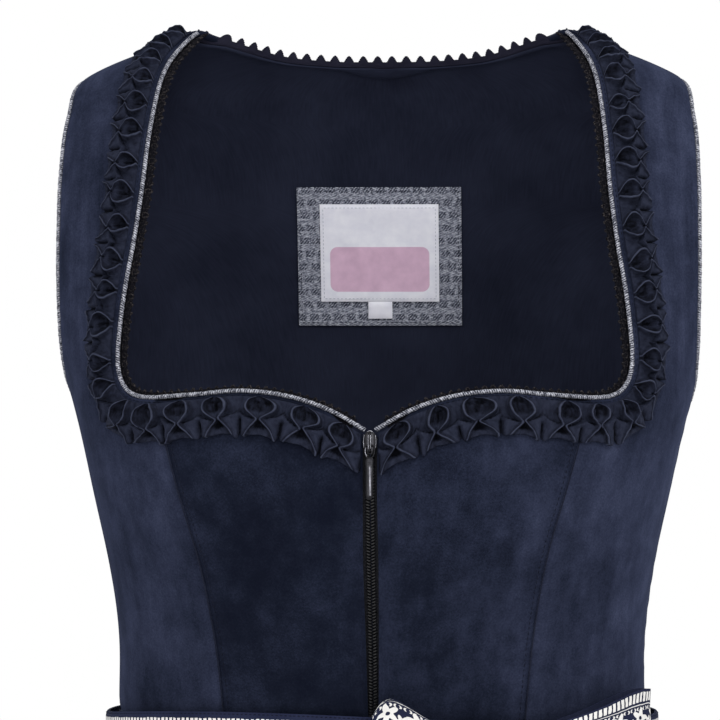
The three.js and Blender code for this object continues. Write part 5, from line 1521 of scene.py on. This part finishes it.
settle(stitches("hem_stitching", hems, THREAD_AND_SEAM_SHADE, 4.2, 2.6, 0.5), [])

# Cut of what shows of each sheet, width and length, with its area where it isn't a rectangle.
CUTS = {
    "back_centre": ((0.33, 0.345), 0.066, "stretched"), "front_centre": ((0.112, 0.165), 0.0135, "stretched"),
    "front_side": ((0.13, 0.35), 0.0285, "stretched"), "back_side": ((0.12, 0.265), 0.0285, "stretched"),
    "ruche": ((0.024, 0.40), None, "gathered"), "zip_tape": ((0.011, 0.14), None, "laid"),
    "skirt": ((0.57, 0.62), None, "gathered"), "bow_tail": ((0.044, 0.30), None, "hung"),
    "bow_loop_right": ((0.044, 0.11), None, "folded"), "bow_loop_left": ((0.044, 0.15), None, "folded"),
    "bow_knot": ((0.03, 0.045), None, "folded"),
}


for name, piece in panels.items():
    cut = CUTS.get(name) or CUTS.get(name.rsplit("_", 1)[0]) or CUTS.get(name.split("_")[0])

# Floor, light and camera.
floor_finish = Finish("pale_floor", Roughness=0.9)
pale = floor_finish.ramp(floor_finish.noise(3, 2), (0.3, (0.82, 0.82, 0.83)), (0.8, (0.86, 0.86, 0.87)))
floor_mesh = bpy.data.meshes.new("floor")
FLOOR_HALF = 4
FLOOR_Z = -1.0
corners = [(x * FLOOR_HALF, y * FLOOR_HALF, FLOOR_Z) for x, y in ((-1, -1), (1, -1), (1, 1), (-1, 1))]
floor_mesh.from_pydata(corners, [], [(0, 1, 2, 3)])
floor_mesh.materials.append(floor_finish.done(pale))
floor = bpy.data.objects.new("floor", floor_mesh)
bpy.context.scene.collection.objects.link(floor)

world = bpy.data.worlds.new("studio")
world.use_nodes = True
world.node_tree.nodes["Background"].inputs["Color"].default_value = (1, 1, 1, 1)
world.node_tree.nodes["Background"].inputs["Strength"].default_value = 1.0
bpy.context.scene.world = world
bpy.context.scene.view_settings.view_transform = "Standard"


def soft_light(name, place, aim, size, power):
    """A square area light at a place, turned towards a point."""
    data = bpy.data.lights.new(name, "AREA")
    data.size = size
    data.energy = power
    lamp = bpy.data.objects.new(name, data)
    direction = np.array(aim, float) - np.array(place, float)
    lamp.rotation_euler = Vector(direction).to_track_quat("-Z", "Y").to_euler()
    lamp.location = place
    bpy.context.scene.collection.objects.link(lamp)


soft_light("key", (1.3, -2.0, 1.7), (0, 0, -0.2), 0.8, 20)
soft_light("front", (0.0, -2.6, 0.5), (0, 0, -0.2), 0.6, 10)

CAMERA_TURN = np.radians(3)
CAMERA_FAR = 2.5
CAMERA_SHIFT = 0.011
across_view = np.array([np.cos(CAMERA_TURN), np.sin(CAMERA_TURN)])
towards = np.array([-np.sin(CAMERA_TURN), np.cos(CAMERA_TURN)])
camera_place = -towards * CAMERA_FAR - across_view * CAMERA_SHIFT
camera_data = bpy.data.cameras.new("camera")
camera_data.sensor_width = 36
camera_data.lens = 250
camera = bpy.data.objects.new("camera", camera_data)
camera.location = (*camera_place, -0.165)
camera.rotation_euler = (np.pi / 2, 0, CAMERA_TURN)
bpy.context.scene.collection.objects.link(camera)
bpy.context.scene.camera = camera

bpy.context.view_layer.update()
